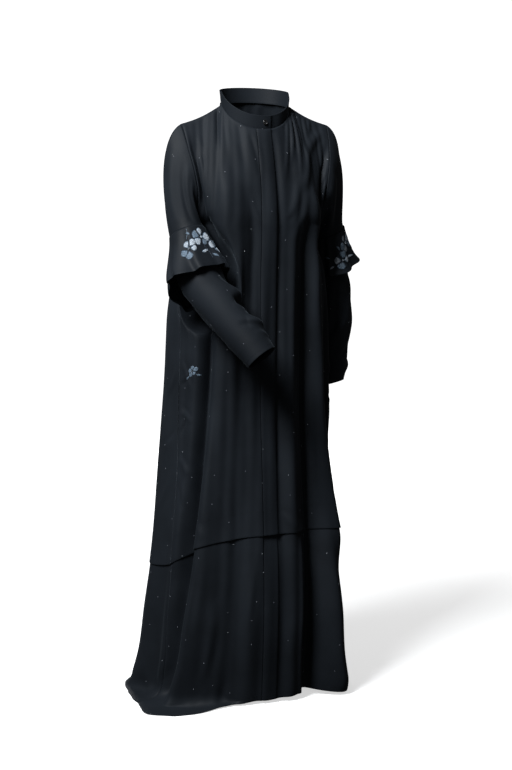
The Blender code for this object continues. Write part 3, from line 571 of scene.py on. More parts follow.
def armhole_edge(arm, degrees):
    """The panels' edge at the armhole and the way out of it."""
    side = ARMS[arm][0]
    turn = np.asarray(degrees, float) % 360
    front_share = np.clip(turn / 180, SEAM_HALF_GAP_V, 1)
    back_share = np.clip((360 - turn) % 360 / 180, SEAM_HALF_GAP_V, 1)
    front_q = side * (1 - SEAM_HALF_GAP_Q) + 0 * turn
    back_q = side * (1 + SEAM_HALF_GAP_Q) + 0 * turn
    shares = []
    for q, share, way in ((front_q, front_share, side), (back_q, back_share, -side)):
        tangent = way * unit(slope_across(body, q, share))
        shares.append((body(q, share), tangent))
    seam = np.isclose(turn, 0) | np.isclose(turn, 180)
    weight = np.where(seam, 0.5, np.where(turn < 180, 1.0, 0.0))[..., None]
    return [front * weight + back * (1 - weight) for front, back in zip(*shares)]


def sleeve_upper(arm, degrees, t):
    """The set-in sleeve, from the armhole (t 0) to the elbow seam (t 1)."""
    edge, tangent = armhole_edge(arm, degrees)
    side = ARMS[arm][0]
    end = arm_ring(arm, 0 * degrees, degrees)
    along_arm = unit(np.array(ARMS[arm][1][0][4:7]))
    away = np.array([side * SLEEVE_START[0], SLEEVE_START[1], SLEEVE_START[2]])
    below = np.abs(np.asarray(degrees, float) % 360 - UNDERARM_TURN)
    ease = UNDERARM_EASE * smoothstep((UNDERARM_REACH - below) / UNDERARM_FADE)
    start = edge + unit(tangent) * SEAM_GAP + ease[..., None] * away
    reach = np.linalg.norm(end - start, axis=-1, keepdims=True) * SLEEVE_REACH
    t = np.asarray(t, float)[..., None]
    rise = smoothstep(t)
    path = start * (1 - rise) + end * rise
    path = path + reach * (t * (1 - t) ** 2 * away - t * t * (1 - t) * along_arm)
    return path


def tube_out(surface, arm, degrees, t, end):
    """The direction that faces out of a sleeve or frill, at a turn and a place down it."""
    across = surface(arm, degrees + 1, t) - surface(arm, degrees - 1, t)
    down = surface(arm, degrees, np.minimum(t + STEP, end)) - surface(arm, degrees, np.maximum(t - STEP, 0))
    return unit(np.cross(down, across)) * -ARMS[arm][0]


def sleeve_lower(arm, degrees, station):
    """The lower sleeve, from the elbow seam to the cuff, with its crossways folds."""
    points = arm_ring(arm, station, degrees)
    centre = np.stack(along(ARMS[arm][1], station)[0:3], axis=-1)
    height = np.zeros(np.shape(station))
    for place, turn, rise, length, width in SLEEVE_FOLDS[arm]:
        around = signed_turn(degrees - turn)
        height = height + rise * np.exp(-((station - place) / length) ** 2 - (around / width) ** 2)
    return points + unit(points - centre) * height[..., None]


def flounce(arm, degrees, t):
    """The frill over the lower sleeve, moved out from that sleeve's own places."""
    length, flare_out, flare_back, back_drop, phase, side_turn, side_lift, side_flare = FLOUNCES[arm]
    turn = np.radians(degrees)
    station = t * length
    points = sleeve_lower(arm, degrees, station)
    centre = np.stack(along(ARMS[arm][1], station)[0:3], axis=-1)
    back = (1 - np.sin(turn)) / 2
    flare = (flare_out + (flare_back - flare_out) * back) * t ** FLOUNCE_FLARE_POWER
    around = signed_turn(degrees - side_turn)
    beside = np.exp(-(around / FLOUNCE_SIDE_TURN) ** 2) * t ** 2
    flare = flare + side_flare * beside
    wobble = turn
    for count, size in FLOUNCE_UNEVENNESS:
        wobble = wobble + size * np.sin(count * turn + phase)
    wave = 0.5 + 0.5 * np.cos(FLOUNCE_WAVES * wobble + phase)
    wave_height = FLOUNCE_GATHER * (1 - t) ** 2 + FLOUNCE_WAVE * t
    out = CLOTH + LAYER_GAP + flare + wave * wave_height
    points = points + unit(points - centre) * out[..., None]
    points[..., 2] = points[..., 2] - back_drop * back * t ** 2 + side_lift * beside
    return points


def neck_place(degrees):
    """q of a place on the neckline; 0 is the centre front and 90 the wearer's left."""
    turn = signed_turn(degrees)
    size = np.abs(turn)
    share = NECK_SHARE * np.where(size <= 90, size, 180 - size) / 90
    return np.sign(turn) * np.where(size <= 90, share, 2 - share)


def collar(degrees, share):
    """The outer face of the stand collar, from its seam (share 0) to its top edge (share 1)."""
    q = neck_place(degrees)
    top = SEAM_HALF_GAP_V + 0 * q
    foot = body(q, top)
    cloth_out = outward(body, q, top)
    level_out = unit((foot - np.array(COLLAR_CENTRE)) * np.array([1.0, 1.0, 0.0]))
    over_placket = 1 - smoothstep((np.abs(signed_turn(degrees)) - COLLAR_LIFT_TURN) / COLLAR_EASE_TURN)
    face = PANEL_FACE + (PLACKET_FACE - PANEL_FACE) * over_placket
    lift = SEAM_GAP + np.maximum(cloth_out[..., 2], 0) * face
    ease = smoothstep((degrees - COLLAR_UNDER_END) / COLLAR_UNDER_FADE)
    under = -(DOUBLE_CLOTH + LAYER_GAP) * (1 - ease)
    out = COLLAR_FACE + under + COLLAR_LEAN * share
    points = foot + level_out * out[..., None]
    points[..., 2] = points[..., 2] + lift + COLLAR_HEIGHT * share
    return points, level_out


# The smaller creases of the body: q and v of both ends, height, width in metres, how far it bows.
CREASES = (
    (0.098, 0.02, 0.108, 1.05, -0.0050, 0.012, 0.000),
    (0.102, 0.80, 0.112, 2.05, -0.0055, 0.014, 0.002),
    (0.110, 1.80, 0.108, 2.98, -0.0045, 0.014, 0.000),
    (-0.550, 1.10, -0.770, 2.15, -0.0120, 0.014, 0.004),
    (-0.700, 1.75, -0.900, 3.08, -0.0130, 0.016, 0.000),
    (0.190, 0.30, 0.180, 1.50, -0.0040, 0.018, 0.003),
    (-0.330, 0.85, -0.400, 2.10, 0.0050, 0.020, 0.003),
    (-0.140, 0.07, -0.085, 0.50, -0.0022, 0.008, 0.004),
    (-0.170, 0.68, -0.085, 1.00, 0.0020, 0.009, -0.006),
    (-0.110, 1.10, -0.090, 1.46, -0.0014, 0.008, 0.003),
    (0.300, 0.62, 0.190, 0.95, 0.0024, 0.012, 0.006),
    (0.360, 0.70, 0.250, 1.04, -0.0020, 0.010, 0.006),
    (0.560, 0.30, 0.380, 0.62, -0.0016, 0.010, -0.006),
    (0.880, 0.10, 0.600, 0.34, -0.0014, 0.010, -0.008),
    (0.930, 0.30, 0.720, 0.60, 0.0016, 0.012, -0.008),
    (0.940, 0.52, 0.700, 0.86, -0.0030, 0.010, -0.010),
    (0.900, 0.85, 0.640, 1.10, 0.0030, 0.012, -0.008),
    (-0.900, 0.20, -0.690, 0.52, -0.0012, 0.010, 0.006),
    (-0.930, 0.45, -0.700, 0.84, 0.0014, 0.014, 0.008),
    (-0.920, 0.72, -0.640, 1.05, -0.0020, 0.012, 0.010),
    (-0.850, 0.98, -0.520, 1.16, 0.0028, 0.012, 0.008),
    (-0.560, 1.02, -0.330, 1.14, -0.0016, 0.010, 0.004),
    (-0.300, 0.24, -0.240, 0.66, 0.0009, 0.014, 0.004),
    (-0.440, 0.12, -0.400, 0.50, -0.0009, 0.012, 0.005),
    (-0.960, 1.40, -0.800, 1.50, 0.0026, 0.008, 0.003),
    (-0.970, 1.47, -0.820, 1.46, -0.0024, 0.006, -0.003),
    (-0.975, 1.55, -0.780, 1.60, 0.0028, 0.007, 0.004),
    (-0.970, 1.62, -0.840, 1.58, -0.0022, 0.006, 0.002),
    (-0.975, 1.69, -0.810, 1.76, 0.0030, 0.008, 0.004),
    (-0.970, 1.76, -0.870, 1.86, -0.0024, 0.008, 0.003),
    (-1.030, 1.42, -1.160, 1.50, 0.0024, 0.008, 0.003),
    (-1.030, 1.60, -1.180, 1.64, -0.0020, 0.007, 0.004),
    (-1.040, 1.72, -1.200, 1.84, 0.0022, 0.009, 0.004),
    (0.975, 1.42, 0.840, 1.52, 0.0024, 0.008, 0.003),
    (0.975, 1.56, 0.800, 1.58, -0.0022, 0.007, -0.003),
    (0.970, 1.70, 0.820, 1.80, 0.0024, 0.008, 0.004),
    (-0.760, 1.90, -0.600, 1.98, 0.0026, 0.009, 0.004),
    (-0.470, 1.86, -0.380, 2.00, -0.0018, 0.010, 0.003),
    (0.100, 1.93, 0.230, 1.99, 0.0014, 0.008, 0.002),
    (0.420, 1.88, 0.520, 1.99, 0.0022, 0.010, 0.003),
    (0.700, 1.86, 0.840, 1.97, -0.0022, 0.010, 0.003),
    (-0.900, 2.05, -0.780, 2.40, 0.0030, 0.012, 0.006),
    (-0.660, 2.10, -0.700, 2.46, -0.0020, 0.012, 0.004),
    (-0.480, 2.30, -0.600, 2.78, 0.0030, 0.014, 0.008),
    (-0.130, 2.06, -0.240, 2.60, 0.0012, 0.010, 0.004),
    (0.140, 2.10, 0.160, 2.70, -0.0014, 0.010, 0.003),
    (0.500, 2.20, 0.560, 2.86, 0.0024, 0.012, 0.006),
    (0.820, 2.20, 0.760, 2.80, -0.0030, 0.014, 0.006),
    (1.200, 1.20, 1.060, 1.60, 0.0026, 0.014, 0.008),
    (1.100, 0.60, 1.300, 1.06, -0.0028, 0.012, 0.010),
    (1.060, 0.30, 1.260, 0.62, 0.0026, 0.011, 0.008),
    (-1.060, 0.34, -1.280, 0.70, 0.0026, 0.011, 0.008),
    (-1.100, 0.62, -1.300, 1.10, -0.0028, 0.012, 0.010),
    (1.560, 0.08, 1.700, 0.40, 0.0016, 0.012, 0.004),
    (-1.620, 0.08, -1.720, 0.44, 0.0014, 0.012, 0.004),
    (1.900, 0.40, 1.860, 1.20, -0.0016, 0.014, 0.005),
    (-1.900, 0.80, -1.940, 1.60, 0.0018, 0.016, 0.005),
    (1.500, 1.30, 1.620, 1.90, 0.0020, 0.016, 0.006),
    (-1.420, 1.50, -1.360, 1.96, -0.0022, 0.014, 0.006),
    (1.300, 2.10, 1.360, 2.70, 0.0026, 0.016, 0.006),
    (1.760, 2.20, 1.700, 2.90, -0.0026, 0.016, 0.006),
    (-1.640, 2.20, -1.580, 2.90, 0.0026, 0.016, 0.006),
    (-1.180, 2.30, -1.120, 2.90, -0.0030, 0.014, 0.006),
)
# Rumples where the hem lies on the floor: q, v, turn in degrees, height, length, width.
RUMPLES = (
    (-1.22, 2.80, 20.0, 0.0045, 0.060, 0.018),
    (-1.10, 2.86, -30.0, 0.0054, 0.050, 0.015),
    (-1.02, 2.76, 35.0, -0.0036, 0.050, 0.015),
    (-0.94, 2.88, -10.0, 0.0059, 0.060, 0.016),
    (-0.86, 2.78, 30.0, 0.0045, 0.050, 0.014),
    (-0.78, 2.90, 0.0, 0.0049, 0.060, 0.015),
    (-0.70, 2.82, -35.0, -0.0036, 0.040, 0.014),
    (-0.62, 2.90, 15.0, 0.0040, 0.050, 0.015),
    (-0.52, 2.92, -15.0, 0.0027, 0.040, 0.014),
    (-0.40, 2.93, 10.0, -0.0023, 0.040, 0.015),
    (-1.40, 2.88, 10.0, 0.0032, 0.050, 0.018),
)
# A crease tapers to both ends; beside its ridge lies a hollow, so many widths away and so deep
CREASE_TAPER = 0.8
CREASE_TOP_FADE = 0.05
HOLLOW_PLACE = 1.6
HOLLOW_DEPTH = 0.45
# Rough sizes of the cloth: metres for each unit of q, and metres down it for each whole v
METRES_PER_Q = 0.33
METRES_PER_V = ((0.0, 0.0), (1.0, 0.285), (2.0, 1.040), (3.0, 1.455))
# Ripples all over: waves across and down in radians for each metre, phase, height
SOFT_RIPPLES = (
    (190.0, 7.0, 0.3, 0.00045),
    (118.0, -9.0, 1.9, 0.00060),
    (71.0, 12.0, 4.1, 0.00080),
    (43.0, -5.0, 2.6, 0.00110),
)
# How deep and how wide the cloth rolls in along a seam
SEAM_ROLL = 0.0009
SEAM_ROLL_WIDTH = 0.0035

# Grids of the drawn cloth: steps across a front, its placket strip and the back, and down it
FRONT_COLUMNS = 84
STRIP_COLUMNS = 10
BACK_COLUMNS = 150
YOKE_ROWS = 56
BODY_ROWS = 120
TUCK_ROWS = 14
SKIRT_ROWS = 84
SLEEVE_COLUMNS = 112
SLEEVE_UPPER_ROWS = 60
SLEEVE_LOWER_ROWS = 90
FLOUNCE_COLUMNS = 240
FLOUNCE_ROWS = 30
COLLAR_STEP = 2.0
COLLAR_ROWS = 12


def metres_down(v):
    """Roughly how far down the cloth a value of v lies."""
    return along(METRES_PER_V, v)[0]


def crease_section(aside, width):
    """A small crease cut across: a ridge with a shallower hollow along one side of it."""
    hollow = np.exp(-((aside - HOLLOW_PLACE * width) / width) ** 2)
    return np.exp(-(aside / width) ** 2) - HOLLOW_DEPTH * hollow


def crease_height(q, v):
    """The smaller creases, which the solids leave out."""
    across = wrapped(q) * METRES_PER_Q
    down = metres_down(v)
    height = np.zeros(np.shape(across))
    for q_a, v_a, q_b, v_b, rise, width, bow in CREASES:
        start = np.array([q_a * METRES_PER_Q, metres_down(v_a)])
        end = np.array([q_b * METRES_PER_Q, metres_down(v_b)])
        length = np.linalg.norm(end - start)
        way = (end - start) / length
        dx = across - start[0]
        dy = down - start[1]
        share = (dx * way[0] + dy * way[1]) / length
        aside = dx * way[1] - dy * way[0] - bow * np.sin(math.pi * np.clip(share, 0, 1))
        taper = np.sin(math.pi * np.clip(share, 0, 1)) ** CREASE_TAPER
        height = height + rise * taper * crease_section(aside, width)
    for q_r, v_r, turn, rise, length, width in RUMPLES:
        c, s = cos_sin(turn)
        dx = across - q_r * METRES_PER_Q
        dy = down - metres_down(v_r)
        aside = (dx * c + dy * s) / width
        endways = (dy * c - dx * s) / length
        height = height + rise * np.exp(-aside ** 2 - endways ** 2)
    for across_rate, down_rate, phase, size in SOFT_RIPPLES:
        height = height + size * np.sin(across_rate * across + down_rate * down + phase)
    return height


def drawn_body(q, v):
    """A place on the body with its smaller creases."""
    q, v = np.broadcast_arrays(np.asarray(q, float), np.asarray(v, float))
    lift = crease_height(q, v) * smoothstep(v / CREASE_TOP_FADE)
    points = body(q, v) + outward(hanging_body, q, v) * lift[..., None]
    points[..., 2] = np.maximum(points[..., 2], LOWEST)
    return points


def drawn_out(q, v):
    return outward(drawn_body, q, v)


def spans(*parts):
    """Rows of v: each part is where it starts, where it ends and how many steps it takes."""
    rows = []
    for start, end, count in parts:
        rows += [start + (end - start) * k / count for k in range(count)]
    rows.append(parts[-1][1])
    return np.array(rows)


def upper_grid(w):
    """Rows of v from the neck and shoulder to the tuck's edge, for each column."""
    stitch = stitch_v(w)
    top = SEAM_HALF_GAP_V + 0 * w
    underarm = 1 + 0 * w
    return spans((top, underarm, YOKE_ROWS), (underarm, stitch, BODY_ROWS), (stitch, 2 + 0 * w, TUCK_ROWS))


def lower_grid(w):
    """Rows of v from the tuck's stitch line to the hem, for each column."""
    stitch = stitch_v(w)
    tuck = 2 + 0 * w
    return spans((stitch, tuck, TUCK_ROWS), (tuck, tuck + 1, SKIRT_ROWS))


# Meshes
def squares(index):
    """The corners of each square between rows and columns of point numbers."""
    return np.stack([index[:-1, :-1], index[1:, :-1], index[1:, 1:], index[:-1, 1:]], axis=-1)


def add_cloth_map(mesh, places):
    """A UV map in metres, from one place for each point of the mesh."""
    corners = np.zeros(len(mesh.loops), np.int32)
    mesh.loops.foreach_get("vertex_index", corners)
    mesh.uv_layers.new(name="cloth").data.foreach_set("uv", places[corners].astype(np.float32).ravel())


def mesh_of(name, shape):
    """A mesh of a bmesh, which is then let go."""
    mesh = bpy.data.meshes.new(name)
    shape.to_mesh(mesh)
    shape.free()
    return mesh


def grid_mesh(name, points, material, closed=False, flip=False):
    """A smooth mesh through rows and columns of points, with its own UV map in metres."""
    rows, columns = points.shape[:2]
    mesh = bpy.data.meshes.new(name)
    index = np.arange(rows * columns).reshape(rows, columns)
    if closed:
        index = np.concatenate([index, index[:, :1]], axis=1)
    quads = squares(index).reshape(-1, 4)
    if flip:
        quads = quads[:, ::-1]
    mesh.from_pydata(points.reshape(-1, 3).tolist(), [], quads.tolist())
    across = np.linalg.norm(np.diff(points, axis=1), axis=-1).mean(axis=0)
    down = np.linalg.norm(np.diff(points, axis=0), axis=-1).mean(axis=1)
    u = np.concatenate([[0], np.cumsum(across)])
    v = np.concatenate([[0], np.cumsum(down)])
    add_cloth_map(mesh, np.stack(np.meshgrid(u, v), axis=-1).reshape(-1, 2))
    mesh.shade_smooth()
    mesh.materials.append(material)
    return mesh


def place(name, mesh):
    """An object of a mesh, in the scene."""
    piece = bpy.data.objects.new(name, mesh)
    bpy.context.scene.collection.objects.link(piece)
    return piece


def turned_edge(points, normals, radius, depth):
    """Rows that turn a hem under, after the last row: a half round, then the turned-up cloth inside."""
    last = points[-1]
    out = normals[-1]
    down = unit(points[-1] - points[-3])
    rows = []
    for degrees in range(30, 181, 30):
        c, s = cos_sin(degrees)
        rows.append(last - out * radius * (1 - c) + down * radius * s)
    rows.append(last - out * 2 * radius - down * depth / 2)
    rows.append(last - out * 2 * radius - down * depth)
    return np.array(rows)


def grid_normals(points, closed):
    """Directions out of a grid of points, from the points themselves."""
    down = np.gradient(points, axis=0)
    if closed:
        across = np.roll(points, -1, axis=1) - np.roll(points, 1, axis=1)
    else:
        across = np.gradient(points, axis=1)
    return unit(np.cross(down, across))


def cloth_piece(name, node, points, closed=False, inside_out=False, hem=True,
                thickness=None):
    """A sheet of cloth in place of a solid, with its hem turned under and its real thickness."""
    settings = bpy.context.scene.dress_cloth
    normals = grid_normals(points, closed) * (-1 if inside_out else 1)
    if hem:
        rows = turned_edge(points, normals, settings.hem_radius, settings.hem_depth)
        points = np.concatenate([points, rows])
    piece = place(name, grid_mesh(name, points, bpy.data.materials["Crepe"], closed, inside_out))
    wall = piece.modifiers.new("Thickness", "SOLIDIFY")
    wall.thickness = thickness or settings.thickness
    wall.offset = -1
    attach(piece, BODY)
    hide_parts(node)
    return piece


def nearest_seam(q, v):
    """Metres from the nearest side seam, armhole or shoulder seam."""
    side = np.abs(1 - np.abs(wrapped(q))) * METRES_PER_Q
    shoulder = metres_down(v) + np.maximum(NECK_SHARE - panel_share(q), 0) * METRES_PER_Q
    return np.minimum(side, shoulder)


def panel_out(q, v):
    """The direction out of a panel, turned upright at the shoulder seam so that front and back meet."""
    normal = drawn_out(q, v)
    past_neck = smoothstep((panel_share(q) - NECK_SHARE + SHOULDER_EASE) / SHOULDER_EASE)
    at_shoulder = (1 - smoothstep(v / SHOULDER_EASE_V)) * past_neck
    upright = np.array(SHOULDER_UPRIGHT) * np.ones(normal.shape)
    upright[..., 0] = upright[..., 0] * left_or_right(q)
    return unit(normal * (1 - at_shoulder[..., None]) + upright * at_shoulder[..., None])


def panel_place(name, w, v):
    """A place on a panel's outer face, in the same layer as its solid, and the way out of it."""
    upper = name in ("front_right", "front_left", "placket_upper", "back")
    back = name.endswith("back")
    q = w if back else column_q(w, v)
    loose = TUCK_DRAWN_LIFT + TUCK_LIFT_CHANGE * np.sin(TUCK_LIFT_WAVES * wrapped(q) + TUCK_LIFT_PHASE)
    lift = loose * tuck_lift(q, v) if upper else 0 * v
    free = smoothstep((v - 2) / SKIRT_EASE_V)
    face = (PANEL_FACE if upper else SKIRT_FACE) + lift
    if name in ("front_left", "skirt_front_left"):
        under = UNDERLAP_FACE if upper else SKIRT_UNDERLAP_FACE + SKIRT_UNDERLAP_RISE * free
        beside = smoothstep((w - W_PLACKET) / UNDERLAP_EASE_W)
        face = under + (face - lift - under) * beside + lift
    if name in ("placket_upper", "placket_lower"):
        face = (PLACKET_FACE if upper else SKIRT_PLACKET_FACE + SKIRT_PLACKET_RISE * free) + lift
        sewn = np.exp(-((w / W_PLACKET + 1) / SEWN_EDGE_SHARE) ** 2)
        face = face - (SEWN_EDGE_DROP if upper else SEWN_SKIRT_DROP) * sewn
    mouth = POCKET_HALF_GAP_Q * pocket_mouth(v)
    q = np.clip(q, 1 + mouth, 3 - mouth) if back else np.clip(q, mouth - 1, 1 - mouth)
    deep = np.where(v < 1, face, SEAM_ROLL)
    face = face - deep * np.exp(-(nearest_seam(q, v) / SEAM_ROLL_WIDTH) ** 2)
    out = panel_out(q, v)
    return drawn_body(q, v) + out * face[..., None], out


# The placket's sewn edge lies flat, while its other edge is free
SEWN_EDGE_SHARE = 0.12
SEWN_EDGE_DROP = 0.0011
SEWN_SKIRT_DROP = 0.0006

# Where studs may lie: the points of each piece and which of them show
SHOWN = {}
PLACKET_CLOTH = 0.0017

PANELS = (
    ("front_right", "front_right", "right", "upper", (0.28, 1.09), 0.26),
    ("front_left", "front_left", "left", "upper", (0.30, 1.06), 0.28),
    ("placket_upper", "placket_upper", "strip", "upper", (0.039, 1.00), 0.038),
    ("back", "back", "back", "upper", (0.70, 1.15), 0.77),
    ("skirt_front_right", "skirt_front_right", "right", "lower", (0.36, 0.51), 0.16),
    ("skirt_front_left", "skirt_front_left", "left", "lower", (0.39, 0.49), 0.18),
    ("placket_lower", "placket_lower", "strip", "lower", (0.039, 0.49), 0.019),
    ("skirt_back", "skirt_back", "back", "lower", (0.95, 0.48), 0.42),
)


def make_panels():
    beyond = np.linspace(W_PLACKET, 1, FRONT_COLUMNS + 1)
    strip = np.linspace(-W_PLACKET, W_PLACKET, STRIP_COLUMNS + 1)
    columns = {
        "right": -beyond[::-1],
        "left": np.concatenate([strip[:-1], beyond]),
        "strip": strip,
        "back": np.linspace(1, 3, BACK_COLUMNS + 1),
    }
    for name, node, across, tier, flat, area in PANELS:
        v = upper_grid(columns[across]) if tier == "upper" else lower_grid(columns[across])
        points = panel_place(node, np.broadcast_to(columns[across], v.shape), v)[0]
        strip_piece = across == "strip"
        piece = cloth_piece("drawn_" + name, node, points, hem=not strip_piece,
                            thickness=PLACKET_CLOTH if strip_piece else None)
        if strip_piece:
            round_edges(piece, EDGE_ROUNDING)
        shown = (v >= 2) if tier == "lower" else (v <= 2)
        if across == "left":
            shown = shown & (columns[across] >= W_PLACKET)
        SHOWN[name] = (points, shown)


# Creases of the sleeves: place down and turn in degrees at both ends, height, width in metres.
# Down the upper sleeve places run from 0 to 1, and down the lower one from 0 to 4.
UPPER_SLEEVE_CREASES = {
    "right": (
        (0.10, 60.0, 0.95, 95.0, -0.0040, 0.010),
        (0.05, 100.0, 0.85, 130.0, 0.0040, 0.010),
        (0.15, 20.0, 0.90, 40.0, 0.0030, 0.012),
        (0.30, 340.0, 0.98, 350.0, -0.0030, 0.012),
        (0.02, 140.0, 0.60, 160.0, -0.0040, 0.009),
        (0.20, 270.0, 0.95, 300.0, 0.0030, 0.012),
        (0.10, 230.0, 0.70, 250.0, -0.0035, 0.010),
    ),
    "left": (
        (0.08, 70.0, 0.95, 80.0, -0.0040, 0.010),
        (0.05, 110.0, 0.98, 105.0, 0.0050, 0.011),
        (0.20, 30.0, 0.95, 45.0, 0.0035, 0.012),
        (0.30, 0.0, 0.98, 10.0, -0.0030, 0.012),
        (0.04, 145.0, 0.70, 140.0, -0.0045, 0.009),
        (0.15, 270.0, 0.95, 290.0, 0.0030, 0.012),
        (0.10, 230.0, 0.70, 240.0, -0.0035, 0.010),
    ),
}
LOWER_SLEEVE_CREASES = {
    "right": (
        (1.05, 100.0, 1.75, 175.0, -0.0040, 0.007),
        (1.20, 80.0, 2.10, 150.0, 0.0036, 0.009),
        (1.50, 175.0, 2.10, 235.0, 0.0036, 0.008),
        (1.80, 150.0, 2.60, 215.0, -0.0034, 0.007),
        (2.20, 90.0, 2.60, 170.0, 0.0034, 0.008),
        (2.50, 160.0, 3.20, 210.0, 0.0030, 0.008),
        (2.75, 70.0, 3.20, 150.0, -0.0026, 0.007),
        (3.20, 100.0, 3.75, 190.0, 0.0024, 0.007),
        (2.05, 105.0, 2.50, 195.0, -0.0125, 0.013),
        (2.80, 100.0, 3.20, 200.0, 0.0100, 0.018),
        (1.20, 300.0, 2.40, 330.0, 0.0036, 0.010),
        (2.40, 280.0, 3.40, 320.0, -0.0030, 0.009),
    ),
    "left": (
        (1.10, 30.0, 2.30, 60.0, 0.0034, 0.010),
        (1.30, 90.0, 2.90, 110.0, -0.0036, 0.010),
        (1.60, 350.0, 2.60, 20.0, -0.0030, 0.009),
        (2.20, 60.0, 3.00, 120.0, 0.0034, 0.009),
        (2.80, 20.0, 3.50, 90.0, -0.0028, 0.008),
        (3.20, 340.0, 3.75, 40.0, 0.0028, 0.008),
        (1.40, 200.0, 2.80, 230.0, 0.0034, 0.010),
        (2.60, 250.0, 3.60, 280.0, -0.0030, 0.009),
    ),
}
# Rough sizes of a sleeve, from where the lower one shows, and how its creases fade at the ends
SLEEVE_RADIUS = 0.050
UPPER_SLEEVE_LENGTH = 0.25
STATION_LENGTH = 0.082
SLEEVE_SHOWN = 1.3
UPPER_CREASE_FADE = 0.12
LOWER_CREASE_START = 0.9
LOWER_CREASE_FADES = (0.3, 0.25)


def sleeve_crease_height(table, degrees, down, unit_length):
    """The smaller creases of a sleeve, in metres."""
    height = np.zeros(np.shape(down))
    for down_a, turn_a, down_b, turn_b, rise, width in table:
        mean_turn = (turn_a + turn_b) / 2
        if abs(turn_b - turn_a) >= 180:
            mean_turn = (mean_turn + 180) % 360
        half_turn = signed_turn(turn_b - turn_a) / 2
        x = np.radians(signed_turn(degrees - mean_turn)) * SLEEVE_RADIUS
        y = (down - (down_a + down_b) / 2) * unit_length
        way = np.array([math.radians(half_turn) * SLEEVE_RADIUS, (down_b - down_a) / 2 * unit_length])
        half = np.linalg.norm(way)
        way = way / half
        share = (x * way[0] + y * way[1]) / half
        aside = x * way[1] - y * way[0]
        taper = np.cos(math.pi / 2 * np.clip(share, -1, 1)) ** CREASE_TAPER
        height = height + rise * taper * crease_section(aside, width)
    return height


def make_sleeve_cloth():
    for arm in ARMS:
        side, table = ARMS[arm]
        turns = np.arange(SLEEVE_COLUMNS) * 360 / SLEEVE_COLUMNS

        degrees, t = np.meshgrid(turns, np.linspace(0, 1, SLEEVE_UPPER_ROWS + 1))
        points = sleeve_upper(arm, degrees, t)
        out = grid_normals(points, True) * -side
        height = sleeve_crease_height(UPPER_SLEEVE_CREASES[arm], degrees, t, UPPER_SLEEVE_LENGTH)
        height = height * between(t, 0, 1, UPPER_CREASE_FADE, UPPER_CREASE_FADE)
        points = points + out * height[..., None]
        cloth_piece("drawn_sleeve_upper_" + arm, "sleeve_upper_" + arm, points,
                    closed=True, inside_out=side > 0, hem=False)
        SHOWN["sleeve_upper_" + arm] = (points[:, ::-side], t < 2)

        last = table[-1][0]
        degrees, station = np.meshgrid(turns, np.linspace(0, last, SLEEVE_LOWER_ROWS + 1))
        points = sleeve_lower(arm, degrees, station)
        out = grid_normals(points, True) * -side
        height = sleeve_crease_height(LOWER_SLEEVE_CREASES[arm], degrees, station, STATION_LENGTH)
        height = height * between(station, LOWER_CREASE_START, last, *LOWER_CREASE_FADES)
        points = points + out * height[..., None]
        cloth_piece("drawn_sleeve_lower_" + arm, "sleeve_lower_" + arm, points,
                    closed=True, inside_out=side > 0)
        SHOWN["sleeve_lower_" + arm] = (points[:, ::-side], station > SLEEVE_SHOWN)

        turns = np.arange(FLOUNCE_COLUMNS) * 360 / FLOUNCE_COLUMNS
        degrees, t = np.meshgrid(turns, np.linspace(0, 1, FLOUNCE_ROWS + 1))
        points = flounce(arm, degrees, t)
        piece = cloth_piece("drawn_flounce_" + arm, "flounce_" + arm, points,
                            closed=True, inside_out=side > 0)


# How far in and down the collar's seam allowance reaches inside the neckline
COLLAR_FOOT = (0.0012, 0.006)
EDGE_ROUNDING = 0.0005
EDGE_ANGLE = 50.0


def round_edges(piece, width):
    rounding = piece.modifiers.new("Rounding", "BEVEL")
    rounding.width = width
    rounding.segments = 2
    rounding.limit_method = "ANGLE"
    rounding.angle_limit = math.radians(EDGE_ANGLE)


def make_collar_cloth():
    turns = np.concatenate([[COLLAR_START], np.arange(-9.0, COLLAR_END, COLLAR_STEP), [COLLAR_END]])
    degrees, share = np.meshgrid(turns, np.linspace(1, 0, COLLAR_ROWS + 1))
    outer, level_out = collar(degrees, share)
    inside = outer[-1] - level_out[-1] * COLLAR_FOOT[0]
    inside[:, 2] = inside[:, 2] - COLLAR_FOOT[1]
    outer = np.concatenate([outer, inside[None]])
    piece = cloth_piece("drawn_collar", "collar", outer, hem=False,
                        thickness=0.0019)
    round_edges(piece, EDGE_ROUNDING)


# Embroidery. Sizes are metres on the cloth: x to the viewer's right, y down, turned clockwise.
PETAL_ROWS = 12
PETAL_COLUMNS = 7
PETAL_ENDS = (0.015, 0.985)
THREAD_LIFT = 0.00015
THREAD_RISE = 0.0004
# How full and how blunt a petal is, how full a leaf is, and how fast and from what a stem widens
PETAL_FULLNESS = 1.5
PETAL_BLUNTNESS = 0.72
LEAF_FULLNESS = 0.9
STEM_TAPER = 9
STEM_TIP = 0.15
DOME_TAPER = 5
OUT_STEP = 0.001
# The top layer of a petal: its size, where it starts and how much higher it lies
TOP_SHARE = 0.84
TOP_INSET = 0.62
TOP_LIFT = 0.5
# A flower's petals, as shares of its radius, and how much they differ from one to the next
PETAL_START = 0.16
PETAL_LENGTH = 0.88
PETAL_WIDTH = 0.98
PETAL_SIZE_CHANGE = 0.16
PETAL_SIZE_STEP = 2.3
PETAL_TURN_CHANGE = 9
PETAL_TURN_STEP = 3.1
# The knots at its heart
KNOTS = 5
KNOT_TURN = 36
KNOT_RING = 1.3
KNOT_RADIUS = 0.0011
KNOT_FLOWER_RADIUS = 0.020
# The threads of each petal in turn: its ground, and its top where there is one
FLOWER_TONES = {
    "pale": ((1, 0), (1, 0), (2, 1), (1, 0), (2, 1)),
    "half": ((2, 0), (1, 0), (2, 1), (2, 1), (1, 0)),
    "deep": ((2, 1), (1, 0), (2, 1), (2, 0), (1, 0)),
    "soft": ((1, None),),
}
